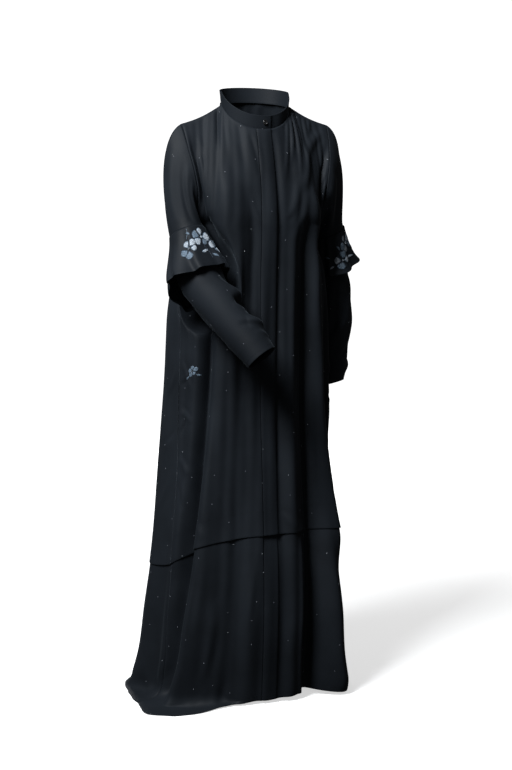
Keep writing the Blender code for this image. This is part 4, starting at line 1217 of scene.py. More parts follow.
# x, y, radius, petals, turn, tones
FLOWERS = {
    "right": (
        (0.004, 0.032, 0.026, 5, 12.0, "pale"),
        (-0.040, 0.054, 0.024, 5, 40.0, "half"),
        (0.046, 0.058, 0.022, 4, 20.0, "deep"),
        (0.120, 0.044, 0.025, 5, 60.0, "deep"),
        (-0.186, 0.046, 0.024, 5, 30.0, "half"),
    ),
    "left": (
        (0.008, 0.034, 0.026, 5, -20.0, "pale"),
        (-0.022, 0.072, 0.023, 4, 15.0, "deep"),
        (0.070, 0.050, 0.024, 5, 50.0, "deep"),
        (0.142, 0.044, 0.024, 5, 8.0, "half"),
        (0.205, 0.050, 0.024, 5, 25.0, "deep"),
    ),
}
# kind, x, y, length, width, turn, bow, ground thread, top thread
SPRAYS = {
    "right": (
        ("leaf", -0.010, 0.072, 0.024, 0.0085, 75.0, 0.001, 1, 0),
        ("leaf", 0.018, 0.078, 0.018, 0.0070, 140.0, -0.001, 2, 1),
        ("leaf", 0.030, 0.068, 0.020, 0.0060, 20.0, 0.001, 2, 1),
        ("stem", -0.044, 0.030, 0.027, 0.0014, 18.0, 0.003, 1, None),
        ("stem", 0.004, 0.054, 0.040, 0.0012, 165.0, -0.004, 2, None),
        ("stem", 0.020, 0.030, 0.034, 0.0012, 80.0, 0.004, 2, None),
        ("leaf", -0.028, 0.022, 0.016, 0.0060, -60.0, 0.001, 2, 1),
        ("stem", 0.080, 0.048, 0.034, 0.0012, 85.0, -0.004, 2, None),
        ("leaf", 0.086, 0.072, 0.022, 0.0070, 110.0, 0.001, 2, 1),
        ("leaf", -0.152, 0.072, 0.022, 0.0070, -80.0, 0.001, 1, 0),
    ),
    "left": (
        ("leaf", 0.000, 0.074, 0.022, 0.0080, 100.0, -0.001, 1, 0),
        ("leaf", -0.024, 0.046, 0.020, 0.0065, -30.0, 0.001, 2, 1),
        ("leaf", 0.030, 0.062, 0.022, 0.0065, 60.0, 0.001, 2, 1),
        ("stem", 0.022, 0.042, 0.034, 0.0013, 110.0, 0.004, 1, None),
        ("stem", -0.008, 0.052, 0.030, 0.0012, -150.0, 0.004, 2, None),
        ("leaf", -0.056, 0.060, 0.018, 0.0060, -70.0, 0.001, 2, 1),
        ("leaf", -0.046, 0.084, 0.016, 0.0060, -110.0, 0.001, 1, 0),
        ("stem", 0.100, 0.046, 0.034, 0.0012, 80.0, 0.004, 2, None),
        ("leaf", 0.112, 0.072, 0.022, 0.0070, 105.0, 0.001, 2, 1),
        ("leaf", 0.172, 0.070, 0.020, 0.0070, 95.0, 0.001, 2, 1),
    ),
    "skirt": (
        ("leaf", 0.010, 0.009, 0.011, 0.0045, 118.0, 0.001, 1, None),
        ("leaf", -0.010, 0.010, 0.010, 0.0042, 236.0, 0.001, 1, None),
    ),
}
BLOSSOM = (0.0, 0.0, 0.0125, 5, 0.0, "soft")
BLOSSOM_WIDEN = 1.5
BLOSSOM_PLACE = (-0.78, 1.443)
EMBROIDERY_TURN = {"right": 100.0, "left": 58.0}
FLOUNCE_METRES_PER_DEGREE = 0.0011
FLOUNCE_DROP = 0.110


def half_width(kind, share):
    """How wide a patch of satin stitch is at a share of its length."""
    if kind == "petal":
        return np.sin(math.pi * share ** PETAL_FULLNESS) ** PETAL_BLUNTNESS
    if kind == "leaf":
        return np.sin(math.pi * share ** LEAF_FULLNESS)
    return np.minimum(1, STEM_TAPER * np.minimum(share, 1 - share) + STEM_TIP)


class Embroidery:
    """Patches of satin stitch on one stretch of cloth, gathered into one mesh."""

    def __init__(self, spot):
        self.spot = spot
        self.points = []
        self.faces = []
        self.tones = []
        self.uv = []

    def patch(self, kind, x, y, length, width, turn, bow, tone, lift, rise):
        """A domed patch that starts at x and y and runs along its turn from straight up."""
        share, side = np.meshgrid(
            np.linspace(*PETAL_ENDS, PETAL_ROWS), np.linspace(-1, 1, PETAL_COLUMNS), indexing="ij")
        across = side * width / 2 * half_width(kind, share) + bow * np.sin(math.pi * share)
        ahead = share * length
        c, s = cos_sin(turn)
        place_x = x + ahead * s + across * c
        place_y = y - ahead * c + across * s
        ends = np.minimum(1, DOME_TAPER * np.minimum(share, 1 - share))
        dome = np.sqrt(np.maximum(1 - side ** 2, 0)) * ends
        points = self.spot(place_x, place_y, lift + rise * dome)
        start = sum(len(part) for part in self.points)
        index = start + np.arange(points.shape[0] * points.shape[1]).reshape(points.shape[:2])
        quads = squares(index).reshape(-1, 4)
        face_out = grid_normals(points, False)
        above = self.spot(place_x, place_y, lift + OUT_STEP)
        cloth_out = above - self.spot(place_x, place_y, lift)
        if (face_out * cloth_out).sum() < 0:
            quads = quads[:, ::-1]
        self.points.append(points.reshape(-1, 3))
        self.faces += quads.tolist()
        self.tones += [tone] * len(quads)
        self.uv.append(np.stack([across, ahead], axis=-1).reshape(-1, 2))

    def satin(self, kind, x, y, length, width, turn, bow, ground, top):
        """A patch of one thread, and a smaller one of another on top of it where there is one."""
        self.patch(kind, x, y, length, width, turn, bow, ground, THREAD_LIFT, THREAD_RISE)
        if top is not None:
            c, s = cos_sin(turn)
            inset = (1 - TOP_SHARE) * TOP_INSET * length
            self.patch(kind, x + inset * s, y - inset * c, length * TOP_SHARE, width * TOP_SHARE, turn, bow,
                       top, THREAD_LIFT + TOP_LIFT * THREAD_RISE, THREAD_RISE)

    def flower(self, x, y, radius, petals, turn, tones):
        """Petals round a heart of knots."""
        for number in range(petals):
            ground, top = FLOWER_TONES[tones][number % len(FLOWER_TONES[tones])]
            size = radius * (1 + PETAL_SIZE_CHANGE * math.sin(PETAL_SIZE_STEP * number + turn))
            change = PETAL_TURN_CHANGE * math.sin(PETAL_TURN_STEP * number + turn)
            angle = turn + number * 360 / petals + change
            c, s = cos_sin(angle)
            start = PETAL_START * radius
            self.satin("petal", x + start * s, y - start * c, size * PETAL_LENGTH,
                       size * PETAL_WIDTH * 5 / (petals + 1), angle, 0.0, ground, top)
        knot = KNOT_RADIUS * radius / KNOT_FLOWER_RADIUS
        for number in range(KNOTS):
            c, s = cos_sin(turn + KNOT_TURN + number * 360 / KNOTS)
            self.patch("petal", x + knot * KNOT_RING * s, y - knot * KNOT_RING * c + knot,
                       2 * knot, 2 * knot, 0.0, 0.0, 0, THREAD_LIFT + THREAD_RISE, knot)

    def finish(self, name):
        mesh = bpy.data.meshes.new(name)
        mesh.from_pydata(np.concatenate(self.points).tolist(), [], self.faces)
        for thread in THREADS:
            mesh.materials.append(bpy.data.materials[thread])
        mesh.polygons.foreach_set("material_index", self.tones)
        add_cloth_map(mesh, np.concatenate(self.uv))
        mesh.shade_smooth()
        piece = place(name, mesh)
        wall = piece.modifiers.new("Padding", "SOLIDIFY")
        wall.thickness = THREAD_LIFT
        wall.offset = -1
        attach(piece, BODY)


def flounce_spot(arm):
    """A function from metres on the frill to a place above its cloth."""
    side = ARMS[arm][0]

    def spot(x, y, height):
        degrees = EMBROIDERY_TURN[arm] - side * x / FLOUNCE_METRES_PER_DEGREE
        t = np.maximum(y / FLOUNCE_DROP, 0)
        out = tube_out(flounce, arm, degrees, t, 1)
        return flounce(arm, degrees, t) + out * np.asarray(height)[..., None]

    return spot


def skirt_spot(x, y, height):
    """A place above the cloth of the front, round the small blossom."""
    q = BLOSSOM_PLACE[0] + x * BLOSSOM_WIDEN / METRES_PER_Q
    v = BLOSSOM_PLACE[1] + y / (METRES_PER_V[2][1] - METRES_PER_V[1][1])
    return drawn_body(q, v) + drawn_out(q, v) * (PANEL_FACE + np.asarray(height))[..., None]


def make_embroidery():
    for arm in ARMS:
        work = Embroidery(flounce_spot(arm))
        for spray in SPRAYS[arm]:
            work.satin(*spray)
        for flower in FLOWERS[arm]:
            work.flower(*flower)
        work.finish("embroidery_" + arm)
    work = Embroidery(skirt_spot)
    for spray in SPRAYS["skirt"]:
        work.satin(*spray)
    work.flower(*BLOSSOM)
    work.finish("embroidery_blossom")


# Stitches
STITCH_LIFT = 0.0001
# panel above the tuck, panel below it, w where both start, w where they end
STITCHED_PANELS = (
    ("front_right", "skirt_front_right", -1, -W_PLACKET),
    ("placket_upper", "placket_lower", -W_PLACKET, W_PLACKET),
    ("front_left", "skirt_front_left", W_PLACKET, 1),
    ("back", "skirt_back", 1, 3),
)
# Down the placket: strip, v where the row starts, how far down it runs
PLACKET_STITCHES = (("placket_upper", 0.01, 1.98), ("placket_lower", 2.01, 0.98))
PLACKET_STITCH_W = -0.9
COLLAR_STITCH_INSET = 1.5
SIDE_STITCH_Q = 0.975
COLLAR_STITCH_SHARES = (0.07, 0.93)
FLOUNCE_STITCH_T = 0.945
LINE_POINTS = 240


def stitch_lines():
    """The lines of stitching, each a row of points just above the cloth."""
    lines = []
    share = np.linspace(0, 1, LINE_POINTS)
    for name, below, low, high in STITCHED_PANELS:
        w = low + (high - low) * share
        lines.append(panel_place(name, w, stitch_v(w)))
        lines.append(panel_place(below, w, 3 - hem_share() + 0 * w))
    w = PLACKET_STITCH_W * W_PLACKET + 0 * share
    for name, start, length in PLACKET_STITCHES:
        lines.append(panel_place(name, w, start + length * share))
    for side in (-1, 1):
        v = POCKET_V[0] + (POCKET_V[1] - POCKET_V[0]) * share
        name = "front_right" if side < 0 else "front_left"
        lines.append(panel_place(name, side * SIDE_STITCH_Q + 0 * v, v))
        for end in POCKET_V:
            w = side * (SIDE_STITCH_Q + (1 - SIDE_STITCH_Q) * share)
            lines.append(panel_place(name, w, end + 0 * w))
    turns = 360 * share
    for arm, (_, table) in ARMS.items():
        cuff = table[-1][0] - bpy.context.scene.dress_cloth.hem_depth / STATION_LENGTH
        for surface, level, end in ((sleeve_lower, cuff, table[-1][0]), (flounce, FLOUNCE_STITCH_T, 1)):
            level = level + 0 * turns
            lines.append((surface(arm, turns, level), tube_out(surface, arm, turns, level, end)))
    turns = COLLAR_START + COLLAR_STITCH_INSET + (COLLAR_END - COLLAR_START - 2 * COLLAR_STITCH_INSET) * share
    for level in COLLAR_STITCH_SHARES:
        lines.append(collar(turns, level + 0 * turns))
    return [points + out * STITCH_LIFT for points, out in lines]


def hem_share():
    """The depth of the skirt's hem, as a step of v."""
    return bpy.context.scene.dress_cloth.hem_depth / (METRES_PER_V[3][1] - METRES_PER_V[2][1])


class NodeTree:
    """A Geometry Nodes tree with named inputs, which ends in real meshes of one material."""

    def __init__(self, name, inputs):
        self.tree = bpy.data.node_groups.new(name, "GeometryNodeTree")
        self.tree.interface.new_socket("Geometry", in_out="INPUT", socket_type="NodeSocketGeometry")
        self.sockets = {}
        for socket, kind, value in inputs:
            made = self.tree.interface.new_socket(socket, in_out="INPUT", socket_type="NodeSocket" + kind)
            made.default_value = value
            self.sockets[socket] = (made.identifier, value)
        self.tree.interface.new_socket("Geometry", in_out="OUTPUT", socket_type="NodeSocketGeometry")
        self.inputs = self.tree.nodes.new("NodeGroupInput").outputs

    def add(self, kind, links=None, **settings):
        made = self.tree.nodes.new(kind)
        for setting, value in settings.items():
            setattr(made, setting, value)
        for socket, value in (links or {}).items():
            if isinstance(value, bpy.types.NodeSocket):
                self.tree.links.new(value, made.inputs[socket])
            else:
                made.inputs[socket].default_value = value
        return made

    def finish(self, instances, material):
        real = self.add("GeometryNodeRealizeInstances", {"Geometry": instances})
        shown = self.add("GeometryNodeSetMaterial", {"Geometry": real.outputs[0], "Material": material})
        output = self.tree.nodes.new("NodeGroupOutput")
        self.tree.links.new(shown.outputs[0], output.inputs[0])

    def grow(self, name, base, smooth):
        """Runs the tree on a base mesh and keeps its result as a plain piece."""
        carrier = place(name + "_base", base)
        modifier = carrier.modifiers.new("Grow", "NODES")
        modifier.node_group = self.tree
        for identifier, value in self.sockets.values():
            modifier[identifier] = value
        graph = bpy.context.evaluated_depsgraph_get()
        mesh = bpy.data.meshes.new_from_object(carrier.evaluated_get(graph))
        mesh.name = name
        carrier.modifiers.remove(modifier)
        bpy.data.objects.remove(carrier, do_unlink=True)
        if smooth:
            mesh.shade_smooth()
        else:
            mesh.shade_flat()
        piece = place(name, mesh)
        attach(piece, BODY)
        return piece


def make_stitches():
    settings = bpy.context.scene.dress_stitches
    lines = stitch_lines()
    edges = []
    start = 0
    for line in lines:
        edges += [(start + k, start + k + 1) for k in range(len(line) - 1)]
        start += len(line)
    base = bpy.data.meshes.new("stitch_lines")
    base.from_pydata(np.concatenate(lines).tolist(), edges, [])
    tree = NodeTree("Running stitches", (
        ("Stitch length", "Float", settings.length),
        ("Pitch", "Float", settings.pitch),
        ("Thread radius", "Float", settings.radius),
    ))
    curve = tree.add("GeometryNodeMeshToCurve", {"Mesh": tree.inputs["Geometry"]})
    spots = tree.add("GeometryNodeCurveToPoints", {
        "Curve": curve.outputs[0], "Length": tree.inputs["Pitch"]}, mode="LENGTH")
    half = tree.add("ShaderNodeMath", {0: tree.inputs["Stitch length"], 1: 0.5}, operation="MULTIPLY")
    size = tree.add("ShaderNodeCombineXYZ", {
        "X": tree.inputs["Thread radius"], "Y": tree.inputs["Thread radius"], "Z": half.outputs[0]})
    bead = tree.add("GeometryNodeMeshUVSphere", {"Segments": 6, "Rings": 4, "Radius": 1.0})
    stitches = tree.add("GeometryNodeInstanceOnPoints", {
        "Points": spots.outputs["Points"], "Instance": bead.outputs["Mesh"],
        "Rotation": spots.outputs["Rotation"], "Scale": size.outputs[0]})
    tree.finish(stitches.outputs[0], bpy.data.materials["Black thread"])
    tree.grow("stitching", base, True)


# Crystal studs: their sides, and how wide their flat top is as a share of the foot
STUD_SIDES = 8
STUD_CROWN = 0.55


def make_studs():
    settings = bpy.context.scene.dress_studs
    points = []
    faces = []
    start = 0
    for grid, shown in SHOWN.values():
        rows, columns = grid.shape[:2]
        index = start + np.arange(rows * columns).reshape(rows, columns)
        keep = shown[:-1, :-1] & shown[1:, :-1] & shown[:-1, 1:] & shown[1:, 1:]
        faces += squares(index)[keep].tolist()
        points.append(grid.reshape(-1, 3))
        start += rows * columns
    base = bpy.data.meshes.new("stud_ground")
    base.from_pydata(np.concatenate(points).tolist(), [], faces)
    tree = NodeTree("Scattered studs", (
        ("Least distance", "Float", settings.distance),
        ("Density", "Float", settings.density),
        ("Radius", "Float", settings.radius),
        ("Height", "Float", settings.height),
        ("Seed", "Int", settings.seed),
    ))
    spots = tree.add("GeometryNodeDistributePointsOnFaces", {
        "Mesh": tree.inputs["Geometry"], "Distance Min": tree.inputs["Least distance"],
        "Density Max": tree.inputs["Density"], "Seed": tree.inputs["Seed"]}, distribute_method="POISSON")
    crown = tree.add("ShaderNodeMath", {0: tree.inputs["Radius"], 1: STUD_CROWN}, operation="MULTIPLY")
    stone = tree.add("GeometryNodeMeshCone", {
        "Vertices": STUD_SIDES, "Radius Top": crown.outputs[0], "Radius Bottom": tree.inputs["Radius"],
        "Depth": tree.inputs["Height"]})
    studs = tree.add("GeometryNodeInstanceOnPoints", {
        "Points": spots.outputs["Points"], "Instance": stone.outputs["Mesh"],
        "Rotation": spots.outputs["Rotation"]})
    tree.finish(studs.outputs[0], bpy.data.materials["Crystal"])
    tree.grow("crystal_studs", base, False)


# Button. Its turned profile runs from the middle of its back round to the middle of its face.
# radius, height
BUTTON_PROFILE = (
    (0.0000, 0.0000), (0.0046, 0.0000), (0.0053, 0.0004), (0.0058, 0.0012), (0.0058, 0.0020),
    (0.0054, 0.0026), (0.0049, 0.0028), (0.0044, 0.0026), (0.0040, 0.0021), (0.0034, 0.0019),
    (0.0000, 0.0019),
)
BUTTON_SIDES = 64
BUTTON_SHARP_ANGLE = 40
HOLE_PLACE = 0.0012
HOLE_RADIUS = 0.0006
HOLE_SIDES = 16
DRILL_LENGTH = 0.01
BUTTON_THREAD_RADIUS = 0.00035
BUTTON_THREAD_SIDES = 8
BUTTON_THREAD_HEIGHT = 0.0020


def rod(shape, sides, radius, length):
    """Adds an upright rod to a shape, and gives its points."""
    made = bmesh.ops.create_cone(
        shape, cap_ends=True, segments=sides, radius1=radius, radius2=radius, depth=length)
    return made["verts"]


def turned(profile, sides):
    """A closed turned shape of a profile of radius and height, upright at the origin."""
    shape = bmesh.new()
    last = [shape.verts.new((radius, 0.0, height)) for radius, height in profile]
    outline = [shape.edges.new(pair) for pair in zip(last, last[1:])]
    bmesh.ops.spin(shape, geom=last + outline, axis=(0, 0, 1), cent=(0, 0, 0), angle=math.tau, steps=sides,
                   use_duplicate=False)
    bmesh.ops.remove_doubles(shape, verts=shape.verts, dist=1e-6)
    bmesh.ops.recalc_face_normals(shape, faces=shape.faces)
    return shape


def make_collar_button():
    face, level_out = collar(np.array([BUTTON_TURN]), np.array([0.5]))
    out = Vector(level_out[0])
    seat = Vector(face[0]) + out * BUTTON_SEAT
    place_turn = out.to_track_quat("Z", "Y").to_matrix().to_4x4()
    place_turn.translation = seat
    disc = mesh_of("horn_button", turned(BUTTON_PROFILE, BUTTON_SIDES))
    button = place("horn_button", disc)
    disc.materials.append(bpy.data.materials["Horn"])
    drill = bmesh.new()
    for x in (-HOLE_PLACE, HOLE_PLACE):
        for y in (-HOLE_PLACE, HOLE_PLACE):
            hole = rod(drill, HOLE_SIDES, HOLE_RADIUS, DRILL_LENGTH)
            bmesh.ops.translate(drill, verts=hole, vec=(x, y, 0))
    cutter = place("drill", mesh_of("drill", drill))
    cut = button.modifiers.new("Holes", "BOOLEAN")
    cut.object = cutter
    cut.solver = "EXACT"
    graph = bpy.context.evaluated_depsgraph_get()
    drilled = bpy.data.meshes.new_from_object(button.evaluated_get(graph))
    button.modifiers.remove(cut)
    bpy.data.objects.remove(cutter, do_unlink=True)
    button.data = drilled
    drilled.transform(place_turn)
    drilled.shade_smooth()
    drilled.set_sharp_from_angle(angle=math.radians(BUTTON_SHARP_ANGLE))
    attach(button, BODY)
    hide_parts("collar_button")

    threads = bmesh.new()
    sideways = Vector((1, 0, 0)).to_track_quat("Z", "Y").to_matrix()
    for y in (-HOLE_PLACE, HOLE_PLACE):
        for lane in (-1, 0, 1):
            made = rod(threads, BUTTON_THREAD_SIDES, BUTTON_THREAD_RADIUS, 2 * HOLE_PLACE + HOLE_RADIUS)
            bmesh.ops.rotate(threads, verts=made, cent=(0, 0, 0), matrix=sideways)
            middle = (0, y + lane * HOLE_RADIUS / 2, BUTTON_THREAD_HEIGHT)
            bmesh.ops.translate(threads, verts=made, vec=middle)
    bmesh.ops.transform(threads, matrix=place_turn, verts=threads.verts)
    thread_mesh = mesh_of("button_thread", threads)
    thread_mesh.shade_smooth()
    thread_mesh.materials.append(bpy.data.materials["Black thread"])
    thread = place("button_thread", thread_mesh)
    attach(thread, BODY)


# Materials
def node(tree, kind, inputs=None, **settings):
    """A shader node; each input is a value or another node's output."""
    made = tree.nodes.new("ShaderNode" + kind)
    for setting, value in settings.items():
        setattr(made, setting, value)
    for socket, value in (inputs or {}).items():
        if isinstance(value, bpy.types.NodeSocket):
            tree.links.new(value, made.inputs[socket])
        else:
            made.inputs[socket].default_value = value
    return made


def object_places(tree):
    return node(tree, "TexCoord").outputs["Object"]


def new_material(name, **inputs):
    """A material with a Principled shader; underscores in an input's name stand for spaces."""
    material = bpy.data.materials.new(name)
    material.use_nodes = True
    tree = material.node_tree
    shader = tree.nodes["Principled BSDF"]
    for socket, value in inputs.items():
        shader.inputs[socket.replace("_", " ")].default_value = value
    return tree, shader


def ramp(tree, factor, dark, light, low=0.3, high=0.7):
    """A colour that runs from dark to light with a factor."""
    made = node(tree, "ValToRGB", {"Fac": factor})
    first, last = made.color_ramp.elements
    first.position = low
    first.color = (*dark, 1.0)
    last.position = high
    last.color = (*light, 1.0)
    return made.outputs["Color"]


def make_crepe(colour):
    """Matt pebbly crepe with a soft nap that catches the light."""
    tree, shader = new_material("Crepe", Sheen_Weight=0.05, Sheen_Roughness=0.30,
                                Sheen_Tint=(0.70, 0.84, 1.0, 1.0), Specular_IOR_Level=0.12)
    places = object_places(tree)
    clouds = node(tree, "TexNoise", {"Vector": places, "Scale": 7.0, "Detail": 5.0}).outputs["Fac"]
    dark = [0.78 * value for value in colour]
    light = [1.25 * value for value in colour]
    tree.links.new(ramp(tree, clouds, dark, light), shader.inputs["Base Color"])
    rough = node(tree, "MapRange", {
        "Value": clouds, "From Min": 0.3, "From Max": 0.7, "To Min": 0.56, "To Max": 0.68})
    tree.links.new(rough.outputs["Result"], shader.inputs["Roughness"])
    pebbles = node(tree, "TexNoise", {"Vector": places, "Scale": 1300.0, "Detail": 2.0})
    cloth_map = node(tree, "UVMap", uv_map="cloth").outputs["UV"]
    twisted = node(tree, "Mapping", {"Vector": cloth_map, "Scale": (240.0, 1500.0, 1.0)})
    yarns = node(tree, "TexNoise", {"Vector": twisted.outputs["Vector"], "Scale": 1.0, "Detail": 2.0})
    grain = node(tree, "Bump", {"Strength": 0.35, "Distance": 0.0004, "Height": pebbles.outputs["Fac"]})
    both = node(tree, "Bump", {"Strength": 0.30, "Distance": 0.0005, "Height": yarns.outputs["Fac"],
                               "Normal": grain.outputs["Normal"]})
    tree.links.new(both.outputs["Normal"], shader.inputs["Normal"])


THREADS = ("White thread", "Grey-blue thread", "Slate thread")


def make_thread(name, colour):
    """Satin stitch: shiny strands side by side along each patch."""
    tree, shader = new_material(
        name, Roughness=0.50, Sheen_Weight=0.10, Sheen_Roughness=0.4, Specular_IOR_Level=0.3)
    along_patch = node(tree, "UVMap", uv_map="cloth").outputs["UV"]
    strands = node(tree, "TexWave", {"Vector": along_patch, "Scale": 700.0, "Distortion": 1.2, "Detail": 1.0,
                                     "Detail Scale": 0.02})
    stretched = node(tree, "Mapping", {"Vector": along_patch, "Scale": (1100.0, 110.0, 1.0)})
    tufts = node(tree, "TexNoise", {"Vector": stretched.outputs["Vector"], "Scale": 1.0, "Detail": 2.0})
    shade = [0.22 * value for value in colour]
    light = [1.20 * value for value in colour]
    tree.links.new(ramp(tree, tufts.outputs["Fac"], shade, light, 0.38, 0.62), shader.inputs["Base Color"])
    ridges = node(tree, "Bump", {"Strength": 0.6, "Distance": 0.0002, "Height": strands.outputs["Fac"]})
    tree.links.new(ridges.outputs["Normal"], shader.inputs["Normal"])


def make_threads(settings):
    for name, colour in zip(THREADS, (settings.white, settings.grey_blue, settings.slate)):
        make_thread(name, colour)
    tree, shader = new_material("Black thread", Roughness=0.7, Sheen_Weight=0.04, Specular_IOR_Level=0.1)
    places = object_places(tree)
    twist = node(tree, "TexNoise", {"Vector": places, "Scale": 2500.0, "Detail": 1.0}).outputs["Fac"]
    colour = ramp(tree, twist, (0.006, 0.007, 0.009), (0.014, 0.016, 0.020))
    tree.links.new(colour, shader.inputs["Base Color"])


def make_stone_and_horn():
    """Stones with painted glints (light and dark patches in their colour), and dark polished horn with faint
    streaks.
    """
    tree, shader = new_material(
        "Crystal", Roughness=0.08, Specular_IOR_Level=0.9, Coat_Weight=0.6, Coat_Roughness=0.04)
    places = object_places(tree)
    # Painted glints: small cells of near-white to near-black colour stand in for light caught by the stones'
    # facets
    facet_glints = node(tree, "TexVoronoi", {"Vector": places, "Scale": 700.0})
    colour = ramp(tree, facet_glints.outputs["Distance"], (0.80, 0.84, 0.90), (0.12, 0.13, 0.16), 0.1, 0.5)
    tree.links.new(colour, shader.inputs["Base Color"])
    tree, shader = new_material("Horn", Roughness=0.24, Coat_Weight=0.4, Coat_Roughness=0.1)
    places = object_places(tree)
    streaks = node(tree, "TexWave", {"Vector": places, "Scale": 90.0, "Distortion": 6.0, "Detail": 3.0})
    colour = ramp(tree, streaks.outputs["Fac"], (0.006, 0.006, 0.007), (0.022, 0.020, 0.019))
    tree.links.new(colour, shader.inputs["Base Color"])


def make_floor_material():
    """A pale floor that glows a little, and more so far out."""
    tree, shader = new_material(
        "Pale floor", Roughness=0.9, Specular_IOR_Level=0.0, Emission_Color=(1.0, 1.0, 1.0, 1.0))
    places = object_places(tree)
    level = node(tree, "VectorMath", {0: places, 1: (1.0, 1.0, 0.0)}, operation="MULTIPLY").outputs["Vector"]
    reach = node(tree, "VectorMath", {0: level}, operation="LENGTH").outputs["Value"]
    glow = node(tree, "MapRange", {
        "Value": reach, "From Min": GLOW_SPREAD[0], "From Max": GLOW_SPREAD[1], "To Min": FLOOR_GLOW,
        "To Max": WALL_GLOW}, interpolation_type="SMOOTHSTEP")
    tree.links.new(glow.outputs["Result"], shader.inputs["Emission Strength"])
    clouds = node(tree, "TexNoise", {"Vector": places, "Scale": 1.5, "Detail": 3.0}).outputs["Fac"]
    tree.links.new(ramp(tree, clouds, (0.90, 0.90, 0.905), (0.93, 0.93, 0.93)), shader.inputs["Base Color"])


# Stage
CAMERA_PLACE = (-1.4365, -3.9467, -0.16)
CAMERA_TURN = -20.0
CAMERA_PITCH = 7.1
FOCAL_PIXELS = 1714.0
SENSOR = 36.0
BOWL_RADIUS = 9.0
BOWL_CORNER = 4.0
BOWL_TOP = 14.0
BOWL_SIDES = 96
BOWL_RINGS = (0.02, 0.15, 0.4, 0.7, 1.0)
FLOOR_GLOW = 0.60
WALL_GLOW = 1.0
GLOW_SPREAD = (1.0, 3.6)
# The lights: place, what they point at, width and height, colour
KEY_LIGHT = ((-1.9, -1.4, 1.9), (0.0, 0.0, -0.35), (1.0, 1.4), (0.95, 0.98, 1.0))
RIM_LIGHT = ((1.1, 4.2, 0.3), (0.0, 0.0, -0.7), (1.6, 1.6), (1.0, 1.0, 1.0))


def make_backdrop():
    """A pale floor that curves up all round into a wall; its own light doesn't fall on the dress."""
    low = CAD_BOX[0][2]
    flat = BOWL_RADIUS - BOWL_CORNER
    profile = [(share * flat, low) for share in BOWL_RINGS]
    for degrees in range(10, 91, 10):
        c, s = cos_sin(degrees)
        profile.append((flat + BOWL_CORNER * s, low + BOWL_CORNER * (1 - c)))
    profile.append((BOWL_RADIUS, low + BOWL_TOP))
    turns = np.arange(BOWL_SIDES) * math.tau / BOWL_SIDES
    points = np.array([[(r * math.cos(turn), r * math.sin(turn), z) for turn in turns] for r, z in profile])
    mesh = grid_mesh("floor", points, bpy.data.materials["Pale floor"], closed=True, flip=True)
    shape = bmesh.new()
    shape.from_mesh(mesh)
    shape.verts.ensure_lookup_table()
    shape.faces.new(shape.verts[:BOWL_SIDES])
    shape.to_mesh(mesh)
    shape.free()
    floor = place("floor", mesh)
    floor.visible_diffuse = False
    floor.visible_glossy = False


def area_light(name, location, target, size, colour, power):
    light = bpy.data.lights.new(name, "AREA")
    light.shape = "RECTANGLE"
    light.size, light.size_y = size
    light.energy = power
    light.color = colour
    lamp = bpy.data.objects.new(name, light)
    lamp.location = location
    lamp.rotation_euler = (Vector(target) - Vector(location)).to_track_quat("-Z", "Y").to_euler()
    bpy.context.scene.collection.objects.link(lamp)


def make_camera():
    camera = bpy.data.objects.new("camera", bpy.data.cameras.new("camera"))
    width, height = IMAGE_SIZE
    camera.data.sensor_width = SENSOR
    camera.data.sensor_fit = "AUTO"
    camera.data.lens = SENSOR * FOCAL_PIXELS / height
    camera.data.shift_x = (width / 2 - IMAGE_CENTRE_X) / height
    camera.location = CAMERA_PLACE
    camera.rotation_euler = (math.radians(90 - CAMERA_PITCH), 0.0, math.radians(CAMERA_TURN))
    bpy.context.scene.collection.objects.link(camera)
    bpy.context.scene.camera = camera


# Settings
METRES = {"precision": 5, "subtype": "DISTANCE", "unit": "LENGTH"}
COLOUR = {"size": 3, "min": 0.0, "max": 1.0, "subtype": "COLOR"}
POWER = {"min": 0.0, "unit": "POWER"}


class ClothSettings(bpy.types.PropertyGroup):
    """Sizes and colour of the crepe"""
    thickness: FloatProperty(
        name="Thickness", description="Thickness of one layer of crepe", default=0.0006,
        min=0.0002, max=0.0015, **METRES)
    hem_radius: FloatProperty(
        name="Fold radius", description="Radius of the fold along a hem", default=0.0008,
        min=0.0003, max=0.002, **METRES)
    hem_depth: FloatProperty(
        name="Hem depth", description="How far a hem is turned up inside", default=0.012,
        min=0.004, max=0.04, **METRES)
    colour: FloatVectorProperty(
        name="Colour", description="Colour of the crepe", default=(0.0105, 0.0132, 0.0172), **COLOUR)


class StudSettings(bpy.types.PropertyGroup):
    """Tiny stones scattered over the cloth"""
    distance: FloatProperty(
        name="Least distance", description="Least distance between two studs", default=0.045,
        min=0.01, max=0.2, **METRES)
    density: FloatProperty(
        name="Density", description="Studs tried for each square metre of cloth", default=230.0,
        min=1.0, max=2000.0)
    radius: FloatProperty(
        name="Radius", description="Radius of a stud", default=0.0011,
        min=0.0005, max=0.004, **METRES)
    height: FloatProperty(
        name="Height", description="Height of a stud", default=0.0007,
        min=0.0003, max=0.003, **METRES)
    seed: IntProperty(
        name="Seed", description="Another seed scatters the studs another way", default=7, min=0)


class StitchSettings(bpy.types.PropertyGroup):
    """Rows of stitches along edges, the tuck and the hems"""
    length: FloatProperty(
        name="Stitch length", description="Length of one stitch", default=0.0022,
        min=0.001, max=0.006, **METRES)
    pitch: FloatProperty(
        name="Pitch", description="Distance from one stitch to the next", default=0.0028,
        min=0.001, max=0.008, **METRES)
    radius: FloatProperty(
        name="Thread radius", description="Radius of the sewing thread", default=0.00022,
        min=0.0001, max=0.001, **METRES)


